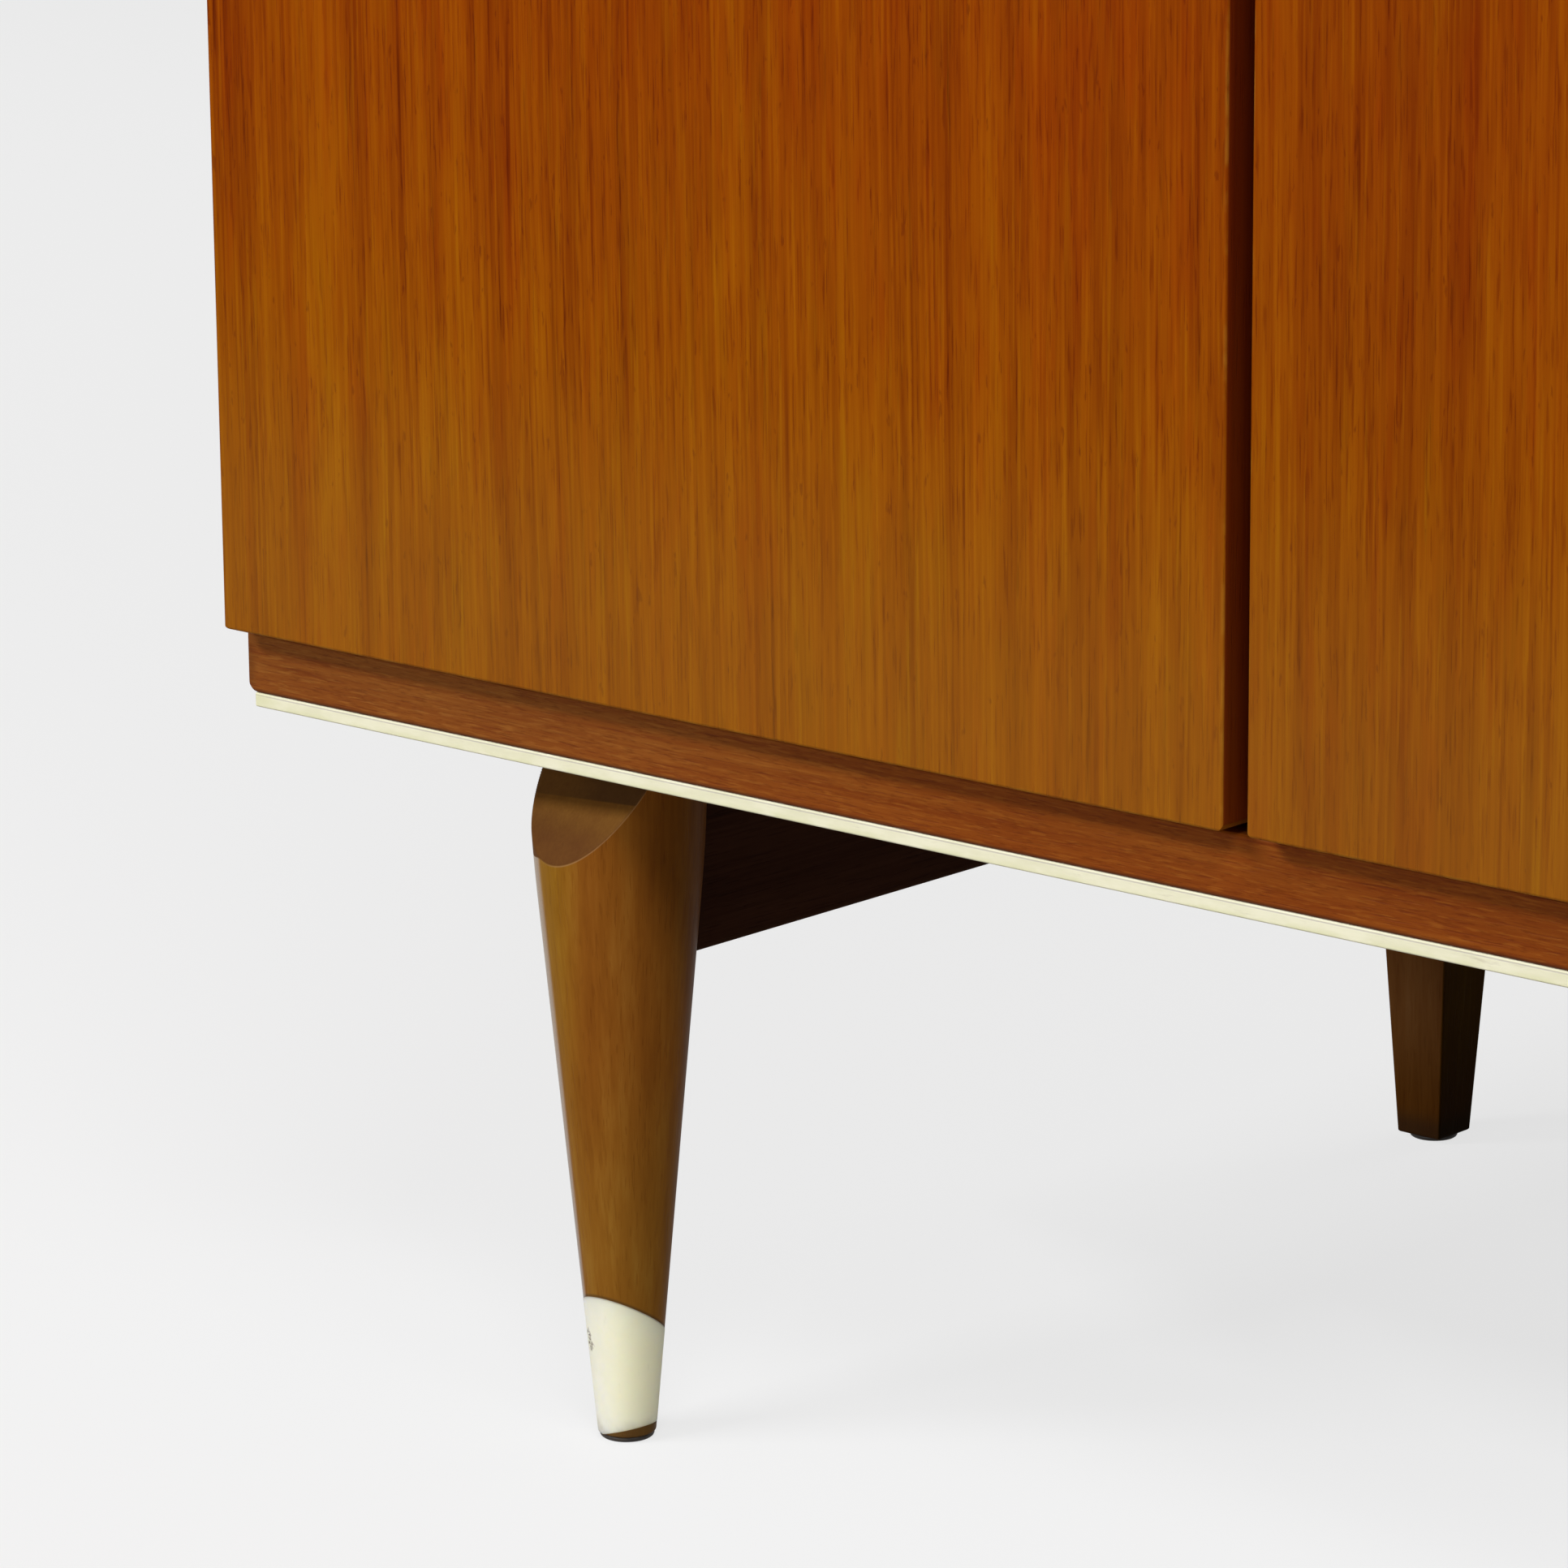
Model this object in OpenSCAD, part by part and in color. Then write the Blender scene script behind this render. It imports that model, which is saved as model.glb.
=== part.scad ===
// Double wardrobe in teak: two full overlay doors meeting at a finger gap, a white trim
// under the bottom rail, turned front legs with white socks and square tapered rear legs.
// Millimetres. Z is up, the doors face -Y, and the origin lies on the floor under the middle.

/* [Overall] */
// Width over the two closed doors
overall_w = 914; // [840:1:1100]
// Depth from the door faces to the back
overall_d = 572; // [520:1:640]
// Height from the floor to the top
overall_h = 1778; // [1650:1:1950]

/* [Carcass] */
// Thickness of the top and bottom boards
board_t = 22; // [20:0.5:26]
// Thickness of the side panels
side_t = 18; // [17:0.5:22]
// Thickness of the plywood back
back_t = 5; // [4:0.5:8]
// Width of the rabbet that holds the back
rabbet_w = 9; // [6:0.5:12]
// Depth of the solid front rails from front to back
rail_d = 20; // [18:1:30]
// Radius of the rails' outer corners
rail_corner_r = 6; // [1:0.5:8]
// Diameter of the carcass dowels
dowel_d = 8; // [6:0.5:10]
// Length of a dowel in the end of a side panel
dowel_long = 22; // [16:1:30]
// Length of a dowel in the top or bottom board
dowel_short = 14; // [10:0.5:16]
// Dowels in each corner joint
dowel_count = 5; // [3:1:7]

/* [White trim] */
// Height of the white trim under the bottom rail
trim_h = 5.3; // [3:0.1:8]
// Depth of the trim from front to back
trim_d = 12; // [8:0.5:16]
// How far the trim stops short of each end
trim_inset = 3; // [0:0.5:8]
// How far the trim's face lies behind the rail's face
trim_back = 0.4; // [0:0.1:2]

/* [Doors] */
// Thickness of a door
door_t = 19; // [18:0.5:22]
// Finger gap between the two doors
door_gap = 9.5; // [6:0.5:14]
// Gap above and below a door
door_clear = 2.7; // [2:0.1:5]
// Gap between the back of a door and the side panel
door_back_gap = 2; // [1.4:0.1:3]
// How far the door faces stand in front of the rails
door_proud = 11; // [6:0.5:14]
// Radius of the corners of a door seen from the front
door_corner_r = 3; // [1.5:0.5:6]
// Radius worn on the front arrises
arris_r = 1.2; // [0.5:0.1:2]

/* [Interior] */
// Thickness of the hat shelf
shelf_t = 18; // [15:0.5:22]
// Clear height above the hat shelf
shelf_drop = 300; // [220:5:380]
// Distance of the shelf's front edge behind the side panels' front edges
shelf_setback = 25; // [20:1:60]
// Gap between the shelf and the side panels
shelf_side_gap = 0.5; // [0.2:0.1:1.5]
// Gap between the shelf and the back
shelf_back_gap = 1; // [0.5:0.5:5]
// Width and height of a shelf cleat
cleat_w = 18; // [15:0.5:24]
// Length of a shelf cleat
cleat_l = 420; // [320:5:440]
// Screws in a shelf cleat
cleat_screw_count = 3; // [2:1:4]
// Outer diameter of the hanging rail
hang_d = 25; // [19:0.5:32]
// Wall of the hanging rail
hang_wall = 1.5; // [1:0.1:3]
// Distance of the hanging rail's axis below the shelf
hang_drop = 52; // [52:1:80]
// Clearance of the hanging rail at each end in its socket
hang_end_gap = 0.8; // [0.4:0.1:2]
// Radial clearance of the hanging rail in its sockets
hang_clear = 0.2; // [0.1:0.05:0.4]
// Wall of a socket's cup
socket_wall = 2.5; // [1.5:0.1:4]
// Depth of a socket's cup
socket_cup = 14; // [8:1:20]
// Diameter of a socket's flange
socket_flange_d = 52; // [50:1:60]
// Thickness of a socket's flange
socket_flange_t = 3; // [2:0.5:5]

/* [Hinges] */
// Hinges on each door
hinge_count = 3; // [2:1:4]
// Height of a hinge
hinge_h = 65; // [50:1:80]
// Distance from a door's end to the middle of the nearest hinge
hinge_inset = 275; // [150:5:300]
// Width of a leaf from the pin's axis
leaf_w = 15; // [13:0.5:16]
// Thickness of a leaf
leaf_t = 1.5; // [1.2:0.1:2]
// Outer diameter of a knuckle
knuckle_d = 6; // [5.5:0.1:8]
// Knuckles of a hinge, an odd number
knuckle_count = 5; // [3:2:7]
// Gap between neighbouring knuckles
knuckle_gap = 0.3; // [0.2:0.05:0.5]
// Diameter of a hinge pin
pin_d = 3; // [2.5:0.1:3.5]
// Radial clearance of the pin in the door's knuckles
pin_clear = 0.05; // [0.02:0.01:0.09]
// Radial clearance of the pin in the carcass's knuckles
pin_seat = 0.02; // [0.01:0.01:0.05]
// Diameter of the pin's head
pin_head_d = 4.6; // [4:0.1:5.4]
// Thickness of the pin's head
pin_head_t = 1; // [0.6:0.1:1.5]
// Distance of the pin's axis outside the side panel
pivot_out = 1.5; // [1:0.1:2]
// Screws in a leaf
leaf_screw_count = 3; // [2:1:4]
// Distance of the screws from the pin's axis
leaf_screw_in = 9.5; // [8:0.5:10]

/* [Screws] */
// Diameter of a wood screw's shank
screw_d = 3.2; // [2.5:0.1:4]
// Diameter of a wood screw's head
screw_head_d = 5.8; // [5:0.1:6]
// Length of a hinge or strike screw
screw_short = 14; // [10:0.5:15]
// Length of a cleat screw
screw_long = 30; // [24:1:32]

/* [Catches] */
// Width of a magnetic catch
catch_w = 40; // [30:1:50]
// Depth of a catch from front to back
catch_d = 18; // [14:1:24]
// Height of a catch
catch_h = 14; // [10:0.5:18]
// Distance of a catch's middle from the wardrobe's middle
catch_x = 45; // [35:1:80]
// Gap between a catch and its strike
catch_gap = 0.3; // [0.2:0.1:1]
// Width of a strike plate
strike_w = 32; // [20:1:40]
// Height of a strike plate
strike_h = 11; // [8:0.5:14]
// Thickness of a strike plate
strike_t = 1.2; // [0.8:0.1:1.5]
// Distance of a strike plate's top below the door's top
strike_drop = 1; // [0.5:0.5:4]

/* [Legs] */
// Clear height from the floor to the white trim
leg_h = 252.5; // [200:0.5:300]
// Distance of the leg axes from the ends of the carcass
leg_inset = 145; // [90:1:180]
// Distance of the front leg axes behind the door faces
leg_front = 50; // [46:1:80]
// Distance of the rear leg axes from the back
leg_rear = 41.5; // [36:0.5:80]
// Diameter of a front leg at the foot
foot_d = 20.3; // [16:0.1:26]
// Diameter of a front leg at its shoulder
shoulder_d = 57.4; // [48:0.2:62]
// Distance of the shoulder below the carcass
shoulder_drop = 58; // [30:1:80]
// Tilt of the flat at the top of a front leg, from the vertical
facet_tilt = 35; // [20:1:45]
// Turn of that flat towards the wardrobe's end
facet_turn = 10; // [0:1:20]
// Height of that flat's plane above the carcass's underside, at the leg's axis
facet_rise = 0.6; // [0:0.1:4]
// Width of a square rear leg at the foot
rear_foot_w = 20.8; // [16:0.1:26]
// Width of a rear leg at the top
rear_top_w = 50.2; // [42:0.1:56]
// Depth worn off the corners of a rear leg
rear_corner = 0.8; // [0.3:0.1:2]
// Thickness of the glides under the legs
glide_t = 2; // [1.5:0.1:4]
// Diameter of the glides
glide_d = 19.5; // [14:0.5:20]

/* [Socks] */
// Height of a white sock at the leg's axis
sock_h = 45; // [30:1:70]
// Tilt of its top edge, high at the front
sock_tilt = 33.8; // [0:0.2:40]
// Tilt of its top edge, high towards the wardrobe's middle
sock_lean = 4.9; // [0:0.1:12]
// Height of its bottom edge at the leg's axis
sock_low = 2.8; // [2.5:0.1:8]
// Tilt of its bottom edge, high towards the wardrobe's middle
sock_low_tilt = 16.6; // [0:0.2:25]
// Thickness of a sock
sock_t = 1; // [0.6:0.1:1.5]

/* [Leg frames] */
// Thickness of a side stretcher
stretch_t = 20; // [16:1:24]
// Height of a side stretcher below the carcass
stretch_h = 83.3; // [60:0.1:100]
// Distance of the stretcher's front end behind the front leg's axis
mortise_front = 12; // [11:0.5:16]
// Distance of the stretcher's rear end in front of the rear leg's axis
mortise_rear = 8; // [6:0.5:12]
// Diameter of the bolts that hold the legs
bolt_d = 6; // [5:0.5:6.5]
// Length of a leg bolt in the leg
bolt_long = 40; // [25:1:60]
// Length of a leg bolt in the bottom board
bolt_short = 14; // [10:0.5:16]
// Distance of the front bolts behind the legs' axes
bolt_front = 5; // [5:0.5:6]
// Distance of the rear bolts behind the legs' axes
bolt_rear = 4; // [2:0.5:8]
// Width and height of a frame cleat
frame_cleat_w = 22; // [18:1:30]
// Length of a frame cleat
frame_cleat_l = 340; // [200:5:360]
// Screws in a frame cleat
frame_screw_count = 3; // [2:1:5]
// Length of a frame screw
frame_screw_l = 36; // [32:1:38]

/* [Hidden] */
$fn = 96;
// Length that is longer than any cut needs
far = 200;
half_w = overall_w / 2;
front_y = -overall_d / 2;
back_y = overall_d / 2;
under_z = leg_h + trim_h;
floor_z = under_z + board_t;
ceil_z = overall_h - board_t;
inner_x = half_w - side_t;
inner_back_y = back_y - back_t;
back_w = 2 * (inner_x + rabbet_w);
rail_y = front_y + door_proud;
panel_y = rail_y + rail_d;
door_back_y = front_y + door_t;
side_y = door_back_y + door_back_gap;
side_h = ceil_z - floor_z;
door_w = (overall_w - door_gap) / 2;
door_z = floor_z + door_clear;
door_h = ceil_z - floor_z - 2 * door_clear;

pivot_x = half_w + pivot_out;
pivot_y = (door_back_y + side_y) / 2;
hinge_pitch = (door_h - 2 * hinge_inset) / (hinge_count - 1);
hinge_zs = [for (i = [0 : hinge_count - 1]) door_z + hinge_inset + i * hinge_pitch];
leaf_screw_pitch = hinge_h / leaf_screw_count;
leaf_screw_zs = [for (i = [0 : leaf_screw_count - 1]) (i - (leaf_screw_count - 1) / 2) * leaf_screw_pitch];
knuckle_pitch = (hinge_h + knuckle_gap) / knuckle_count;
knuckle_h = knuckle_pitch - knuckle_gap;
screw_head_h = (screw_head_d - screw_d) / 2;

shelf_z = ceil_z - shelf_drop - shelf_t;
shelf_y = side_y + shelf_setback;
hang_z = shelf_z - hang_drop;
hang_y = (side_y + inner_back_y) / 2;
cleat_y = hang_y - cleat_l / 2;
cleat_screw_pitch = cleat_l / cleat_screw_count;
cleat_screw_ys = [for (i = [0 : cleat_screw_count - 1]) cleat_y + (i + 0.5) * cleat_screw_pitch];
cup_r = hang_d / 2 + hang_clear + socket_wall;
socket_screw_r = (cup_r + socket_flange_d / 2) / 2;

dowel_x = half_w - side_t / 2;
dowel_front_y = panel_y + 2 * dowel_d;
dowel_pitch = (inner_back_y - 3 * dowel_d - dowel_front_y) / (dowel_count - 1);
dowel_ys = [for (i = [0 : dowel_count - 1]) dowel_front_y + i * dowel_pitch];

strike_z = ceil_z - door_clear - strike_drop - strike_h / 2;
catch_y = door_back_y + strike_t + catch_gap;
catch_screw_y = (catch_y + panel_y) / 2;
catch_screw_x = catch_w / 3;

leg_x = half_w - leg_inset;
front_leg_y = front_y + leg_front;
rear_leg_y = back_y - leg_rear;
shoulder_z = under_z - shoulder_drop;
leg_taper = (shoulder_d - foot_d) / 2 / shoulder_z;
rear_taper = (rear_top_w - rear_foot_w) / under_z;
stretch_z = under_z - stretch_h;
stretch_y = front_leg_y + mortise_front;
stretch_l = rear_leg_y - mortise_rear - stretch_y;
frame_cleat_y = (front_leg_y + rear_leg_y - frame_cleat_l) / 2;
frame_screw_pitch = frame_cleat_l / frame_screw_count;
frame_screw_ys = [for (i = [0 : frame_screw_count - 1]) frame_cleat_y + (i + 0.5) * frame_screw_pitch];

TEAK = [0.60, 0.34, 0.13];
TEAK_RAIL = [0.55, 0.29, 0.13];
INSIDE = [0.72, 0.52, 0.30];
BEECH = [0.80, 0.62, 0.40];
LEG = [0.58, 0.38, 0.16];
DARK = [0.16, 0.09, 0.06];
WHITE = [0.92, 0.90, 0.80];
STEEL = [0.78, 0.78, 0.80];
BRASS = [0.80, 0.62, 0.28];
BROWN = [0.25, 0.17, 0.12];

// Square from the origin with every corner rounded
module round_rect(w, h, r) {
    translate([r, 0]) square([w - 2 * r, h]);
    translate([0, r]) square([w, h - 2 * r]);
    for (x = [r, w - r], y = [r, h - r]) translate([x, y]) circle(r);
}

// Square from the origin with only its two front corners rounded
module front_round_rect(w, t, r) {
    translate([0, r]) square([w, t - r]);
    translate([r, 0]) square([w - 2 * r, t - r]);
    for (x = [r, w - r]) translate([x, r]) circle(r);
}

// Slab w wide, t deep and h high: its outline from the front is the child, its front arrises are soft
module soft_slab(w, t, h, edge_r) {
    intersection() {
        translate([0, t, 0]) rotate([90, 0, 0]) linear_extrude(t) children();
        linear_extrude(h) front_round_rect(w, t, edge_r);
        translate([0, 0, h]) rotate([0, 90, 0]) linear_extrude(w) front_round_rect(h, t, edge_r);
    }
}

// Children as made, and mirrored to the right-hand side
module both_sides() {
    children();
    mirror([1, 0, 0]) children();
}

// Countersunk screw whose head is flush at the origin and whose shank runs along -Z
module screw(length) {
    translate([0, 0, -screw_head_h]) cylinder(d1 = screw_d, d2 = screw_head_d, h = screw_head_h);
    translate([0, 0, -length]) cylinder(d = screw_d, h = length - screw_head_h);
}

// What comes in pairs is drawn for the left side, and the right side mirrors it.

module dowels() {
    for (y = dowel_ys) {
        translate([-dowel_x, y, floor_z - dowel_short])
            cylinder(d = dowel_d, h = dowel_short + dowel_long);
        translate([-dowel_x, y, ceil_z - dowel_long])
            cylinder(d = dowel_d, h = dowel_short + dowel_long);
    }
}

// Screws of the hinge leaves, which face the gap between door and side panel
module leaf_screws(face_y, turn) {
    for (hz = hinge_zs, dz = leaf_screw_zs)
        translate([-pivot_x + leaf_screw_in, face_y, hz + dz]) rotate([turn, 0, 0]) screw(screw_short);
}
module case_screws() { leaf_screws(side_y, 90); }
module door_leaf_screws() { leaf_screws(door_back_y, -90); }
module strike_screw() {
    translate([-catch_x, door_back_y + strike_t, strike_z]) rotate([-90, 0, 0]) screw(screw_short);
}

module cleat_screw_set() {
    for (y = cleat_screw_ys)
        translate([-inner_x + cleat_w, y, shelf_z - cleat_w / 2]) rotate([0, 90, 0]) screw(screw_long);
}
module socket_screw_set() {
    for (s = [-1, 1])
        translate([-inner_x + socket_flange_t, hang_y, hang_z + s * socket_screw_r])
            rotate([0, 90, 0]) screw(screw_short);
}

// Space that a hinge's knuckles and pin turn in
module knuckle_room() {
    for (hz = hinge_zs)
        translate([-pivot_x, pivot_y, hz - hinge_h / 2 - pin_head_t - knuckle_gap])
            cylinder(d = knuckle_d + 2 * knuckle_gap, h = hinge_h + 2 * (pin_head_t + knuckle_gap));
}

// Plates of the leaves on the side panel, and on the door
module case_plates() {
    for (hz = hinge_zs)
        translate([-pivot_x, side_y, hz - hinge_h / 2]) cube([leaf_w, leaf_t, hinge_h]);
}
module door_plates() {
    for (hz = hinge_zs)
        translate([-pivot_x, door_back_y - leaf_t, hz - hinge_h / 2]) cube([leaf_w, leaf_t, hinge_h]);
}

// Knuckles with an even or an odd place in the row, thickened by grow
module knuckles(odd, grow) {
    for (hz = hinge_zs, i = [odd : 2 : knuckle_count - 1])
        translate([-pivot_x, pivot_y, hz - hinge_h / 2 + i * knuckle_pitch - grow])
            cylinder(d = knuckle_d + 2 * grow, h = knuckle_h + 2 * grow);
}
module pin_bores(clear) {
    for (hz = hinge_zs)
        translate([-pivot_x, pivot_y, hz - hinge_h / 2 - 1]) cylinder(d = pin_d + 2 * clear, h = hinge_h + 2);
}

// The back's outline in its rabbets, t thick
module back_sheet(t) {
    translate([-back_w / 2, inner_back_y, floor_z - rabbet_w]) cube([back_w, t, side_h + 2 * rabbet_w]);
}

module side_panel() {
    difference() {
        translate([-half_w, side_y, floor_z]) cube([side_t, back_y - side_y, side_h]);
        back_sheet(far);
        dowels();
        case_plates();
        case_screws();
        knuckle_room();
        cleat_screw_set();
        socket_screw_set();
    }
}

module left_side_panel() {
    color(TEAK) side_panel();
}
module right_side_panel() {
    color(TEAK) mirror([1, 0, 0]) side_panel();
}

// Board with its underside at z
module board(z) {
    difference() {
        translate([-half_w, panel_y, z]) cube([overall_w, back_y - panel_y, board_t]);
        back_sheet(far);
        both_sides() dowels();
    }
}
module top_panel() {
    color(TEAK) board(ceil_z);
}
module bottom_panel() {
    color(INSIDE) difference() {
        board(under_z);
        both_sides() leg_bolt_set();
        both_sides() frame_screw_set();
    }
}
module back_panel() {
    color(INSIDE) back_sheet(back_t);
}

// Solid front rail with its underside at the origin's height and its two lower corners rounded
module rail() {
    translate([-half_w, rail_y, 0]) soft_slab(overall_w, rail_d, board_t, arris_r)
        front_round_rect(overall_w, board_t, rail_corner_r);
}
module top_rail() {
    color(TEAK_RAIL) difference() {
        translate([0, 0, overall_h]) mirror([0, 0, 1]) rail();
        both_sides() catch_screw_set();
    }
}
module bottom_rail() {
    color(TEAK_RAIL) translate([0, 0, under_z]) rail();
}
module base_trim() {
    color(WHITE) translate([-half_w + trim_inset, rail_y + trim_back, leg_h])
        cube([overall_w - 2 * trim_inset, trim_d, trim_h]);
}
module carcass_dowels() {
    color(BEECH) both_sides() dowels();
}

module hat_shelf() {
    color(INSIDE) translate([-inner_x + shelf_side_gap, shelf_y, shelf_z])
        cube([2 * (inner_x - shelf_side_gap), inner_back_y - shelf_back_gap - shelf_y, shelf_t]);
}
module shelf_cleats() {
    color(BEECH) both_sides() difference() {
        translate([-inner_x, cleat_y, shelf_z - cleat_w]) cube([cleat_w, cleat_l, cleat_w]);
        cleat_screw_set();
    }
}
module cleat_screws() {
    color(BRASS) both_sides() cleat_screw_set();
}

module hanging_rail() {
    hang_l = 2 * (inner_x - socket_flange_t - hang_end_gap);
    color(STEEL) translate([-hang_l / 2, hang_y, hang_z]) rotate([0, 90, 0]) difference() {
        cylinder(d = hang_d, h = hang_l);
        translate([0, 0, -1]) cylinder(d = hang_d - 2 * hang_wall, h = hang_l + 2);
    }
}
module rail_socket() {
    difference() {
        translate([-inner_x, hang_y, hang_z]) rotate([0, 90, 0]) {
            cylinder(d = socket_flange_d, h = socket_flange_t);
            cylinder(r = cup_r, h = socket_flange_t + socket_cup);
        }
        translate([-inner_x + socket_flange_t, hang_y, hang_z]) rotate([0, 90, 0])
            cylinder(d = hang_d + 2 * hang_clear, h = socket_cup + 1);
        socket_screw_set();
    }
}
module rail_sockets() {
    color(STEEL) both_sides() rail_socket();
}
module socket_screws() {
    color(STEEL) both_sides() socket_screw_set();
}

module door() {
    difference() {
        translate([-half_w, front_y, door_z]) soft_slab(door_w, door_t, door_h, arris_r)
            round_rect(door_w, door_h, door_corner_r);
        door_plates();
        door_leaf_screws();
        strike_screw();
        knuckle_room();
    }
}
module left_door() {
    color(TEAK) door();
}
module right_door() {
    color(TEAK) mirror([1, 0, 0]) door();
}

// Plates joined to every other knuckle, clear of the knuckles between
module case_leaves() {
    difference() {
        union() {
            case_plates();
            knuckles(0, 0);
        }
        knuckles(1, knuckle_gap);
        pin_bores(pin_seat);
        case_screws();
    }
}
module door_leaves() {
    difference() {
        union() {
            door_plates();
            knuckles(1, 0);
        }
        knuckles(0, knuckle_gap);
        pin_bores(pin_clear);
        door_leaf_screws();
    }
}
module hinge_pins() {
    for (hz = hinge_zs) translate([-pivot_x, pivot_y, hz]) {
        translate([0, 0, -hinge_h / 2]) cylinder(d = pin_d, h = hinge_h);
        translate([0, 0, hinge_h / 2]) cylinder(d = pin_head_d, h = pin_head_t);
    }
}
module left_case_leaves() {
    color(BRASS) case_leaves();
}
module right_case_leaves() {
    color(BRASS) mirror([1, 0, 0]) case_leaves();
}
module left_door_leaves() {
    color(BRASS) door_leaves();
}
module right_door_leaves() {
    color(BRASS) mirror([1, 0, 0]) door_leaves();
}
module left_hinge_pins() {
    color(BRASS) hinge_pins();
}
module right_hinge_pins() {
    color(BRASS) mirror([1, 0, 0]) hinge_pins();
}
module case_leaf_screws() {
    color(BRASS) both_sides() case_screws();
}
module door_screws() {
    door_leaf_screws();
    strike_screw();
}
module left_door_screws() {
    color(BRASS) door_screws();
}
module right_door_screws() {
    color(BRASS) mirror([1, 0, 0]) door_screws();
}

module catch_screw_set() {
    for (s = [-1, 1])
        translate([-catch_x + s * catch_screw_x, catch_screw_y, ceil_z - catch_h]) rotate([180, 0, 0])
            screw(screw_long);
}
module catch_cases() {
    color(BROWN) both_sides() difference() {
        translate([-catch_x - catch_w / 2, catch_y, ceil_z - catch_h]) cube([catch_w, catch_d, catch_h]);
        catch_screw_set();
    }
}
module catch_screws() {
    color(BRASS) both_sides() catch_screw_set();
}
module strike() {
    difference() {
        translate([-catch_x - strike_w / 2, door_back_y, strike_z - strike_h / 2])
            cube([strike_w, strike_t, strike_h]);
        strike_screw();
    }
}
module left_strike() {
    color(STEEL) strike();
}
module right_strike() {
    color(STEEL) mirror([1, 0, 0]) strike();
}

// Radius of a front leg at height z: a straight taper that eases out above the shoulder
function ease(t) = t - t * t / (2 * shoulder_drop);
function leg_r(z) = foot_d / 2 + leg_taper * (min(z, shoulder_z) + ease(max(z - shoulder_z, 0)));
ease_steps = 8;
leg_zs = concat([glide_t], [for (i = [0 : ease_steps]) shoulder_z + shoulder_drop * i / ease_steps]);

// Turned shape of a front leg, with inset taken off its radius
module turned(inset) {
    outline = [for (z = leg_zs) [leg_r(z) - inset, z]];
    rotate_extrude() polygon(concat([[0, glide_t]], outline, [[0, under_z]]));
}

// Everything below a plane through z on the axis, tilted about X or about Y
module below_plane(z, tilt_x, tilt_y) {
    translate([0, 0, z]) rotate([tilt_x, tilt_y, 0]) translate([-far, -far, -2 * far])
        cube([2 * far, 2 * far, 2 * far]);
}
module sock_shell() {
    difference() {
        intersection() {
            turned(0);
            below_plane(sock_h, -sock_tilt, -sock_lean);
        }
        turned(sock_t);
        below_plane(sock_low, 0, -sock_low_tilt);
    }
}
module facet_cut() {
    translate([0, 0, under_z + facet_rise]) rotate([0, 0, -facet_turn]) rotate([-facet_tilt, 0, 0])
        translate([-far, -2 * far, -far]) cube(2 * far);
}
module front_leg() {
    difference() {
        translate([-leg_x, front_leg_y, 0]) difference() {
            turned(0);
            sock_shell();
            facet_cut();
        }
        stretcher();
        leg_bolt_set();
    }
}
module sock() {
    translate([-leg_x, front_leg_y, 0]) sock_shell();
}

// Face of a rear leg, seen along either level axis
module rear_profile() {
    foot = (rear_foot_w + rear_taper * glide_t) / 2;
    polygon([[-foot, glide_t], [foot, glide_t], [rear_top_w / 2, under_z], [-rear_top_w / 2, under_z]]);
}
module rear_leg() {
    difference() {
        translate([-leg_x, rear_leg_y, 0]) intersection() {
            translate([0, far, 0]) rotate([90, 0, 0]) linear_extrude(2 * far) rear_profile();
            translate([-far, 0, 0]) rotate([90, 0, 90]) linear_extrude(2 * far) rear_profile();
            cylinder(r1 = rear_foot_w / sqrt(2) - rear_corner, r2 = rear_top_w / sqrt(2) - rear_corner,
                     h = under_z);
        }
        stretcher();
        leg_bolt_set();
    }
}
module leg_bolt_set() {
    for (y = [front_leg_y + bolt_front, rear_leg_y + bolt_rear])
        translate([-leg_x, y, under_z - bolt_long]) cylinder(d = bolt_d, h = bolt_long + bolt_short);
}
module stretcher() {
    translate([-leg_x - stretch_t / 2, stretch_y, stretch_z]) cube([stretch_t, stretch_l, stretch_h]);
}
module front_left_leg() {
    color(LEG) front_leg();
}
module front_right_leg() {
    color(LEG) mirror([1, 0, 0]) front_leg();
}
module rear_left_leg() {
    color(LEG) rear_leg();
}
module rear_right_leg() {
    color(LEG) mirror([1, 0, 0]) rear_leg();
}
module left_sock() {
    color(WHITE) sock();
}
module right_sock() {
    color(WHITE) mirror([1, 0, 0]) sock();
}
module leg_glides() {
    color(DARK) both_sides() for (y = [front_leg_y, rear_leg_y])
        translate([-leg_x, y, 0]) cylinder(d = glide_d, h = glide_t);
}
module left_stretcher() {
    color(DARK) stretcher();
}
module right_stretcher() {
    color(DARK) mirror([1, 0, 0]) stretcher();
}

module frame_screw_set() {
    for (y = frame_screw_ys)
        translate([-leg_x - stretch_t / 2 - frame_cleat_w / 2, y, under_z - frame_cleat_w])
            rotate([180, 0, 0]) screw(frame_screw_l);
}
module frame_cleats() {
    color(DARK) both_sides() difference() {
        translate([-leg_x - stretch_t / 2 - frame_cleat_w, frame_cleat_y, under_z - frame_cleat_w])
            cube([frame_cleat_w, frame_cleat_l, frame_cleat_w]);
        frame_screw_set();
    }
}
module frame_screws() {
    color(STEEL) both_sides() frame_screw_set();
}
module leg_bolts() {
    color(STEEL) both_sides() leg_bolt_set();
}

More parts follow.
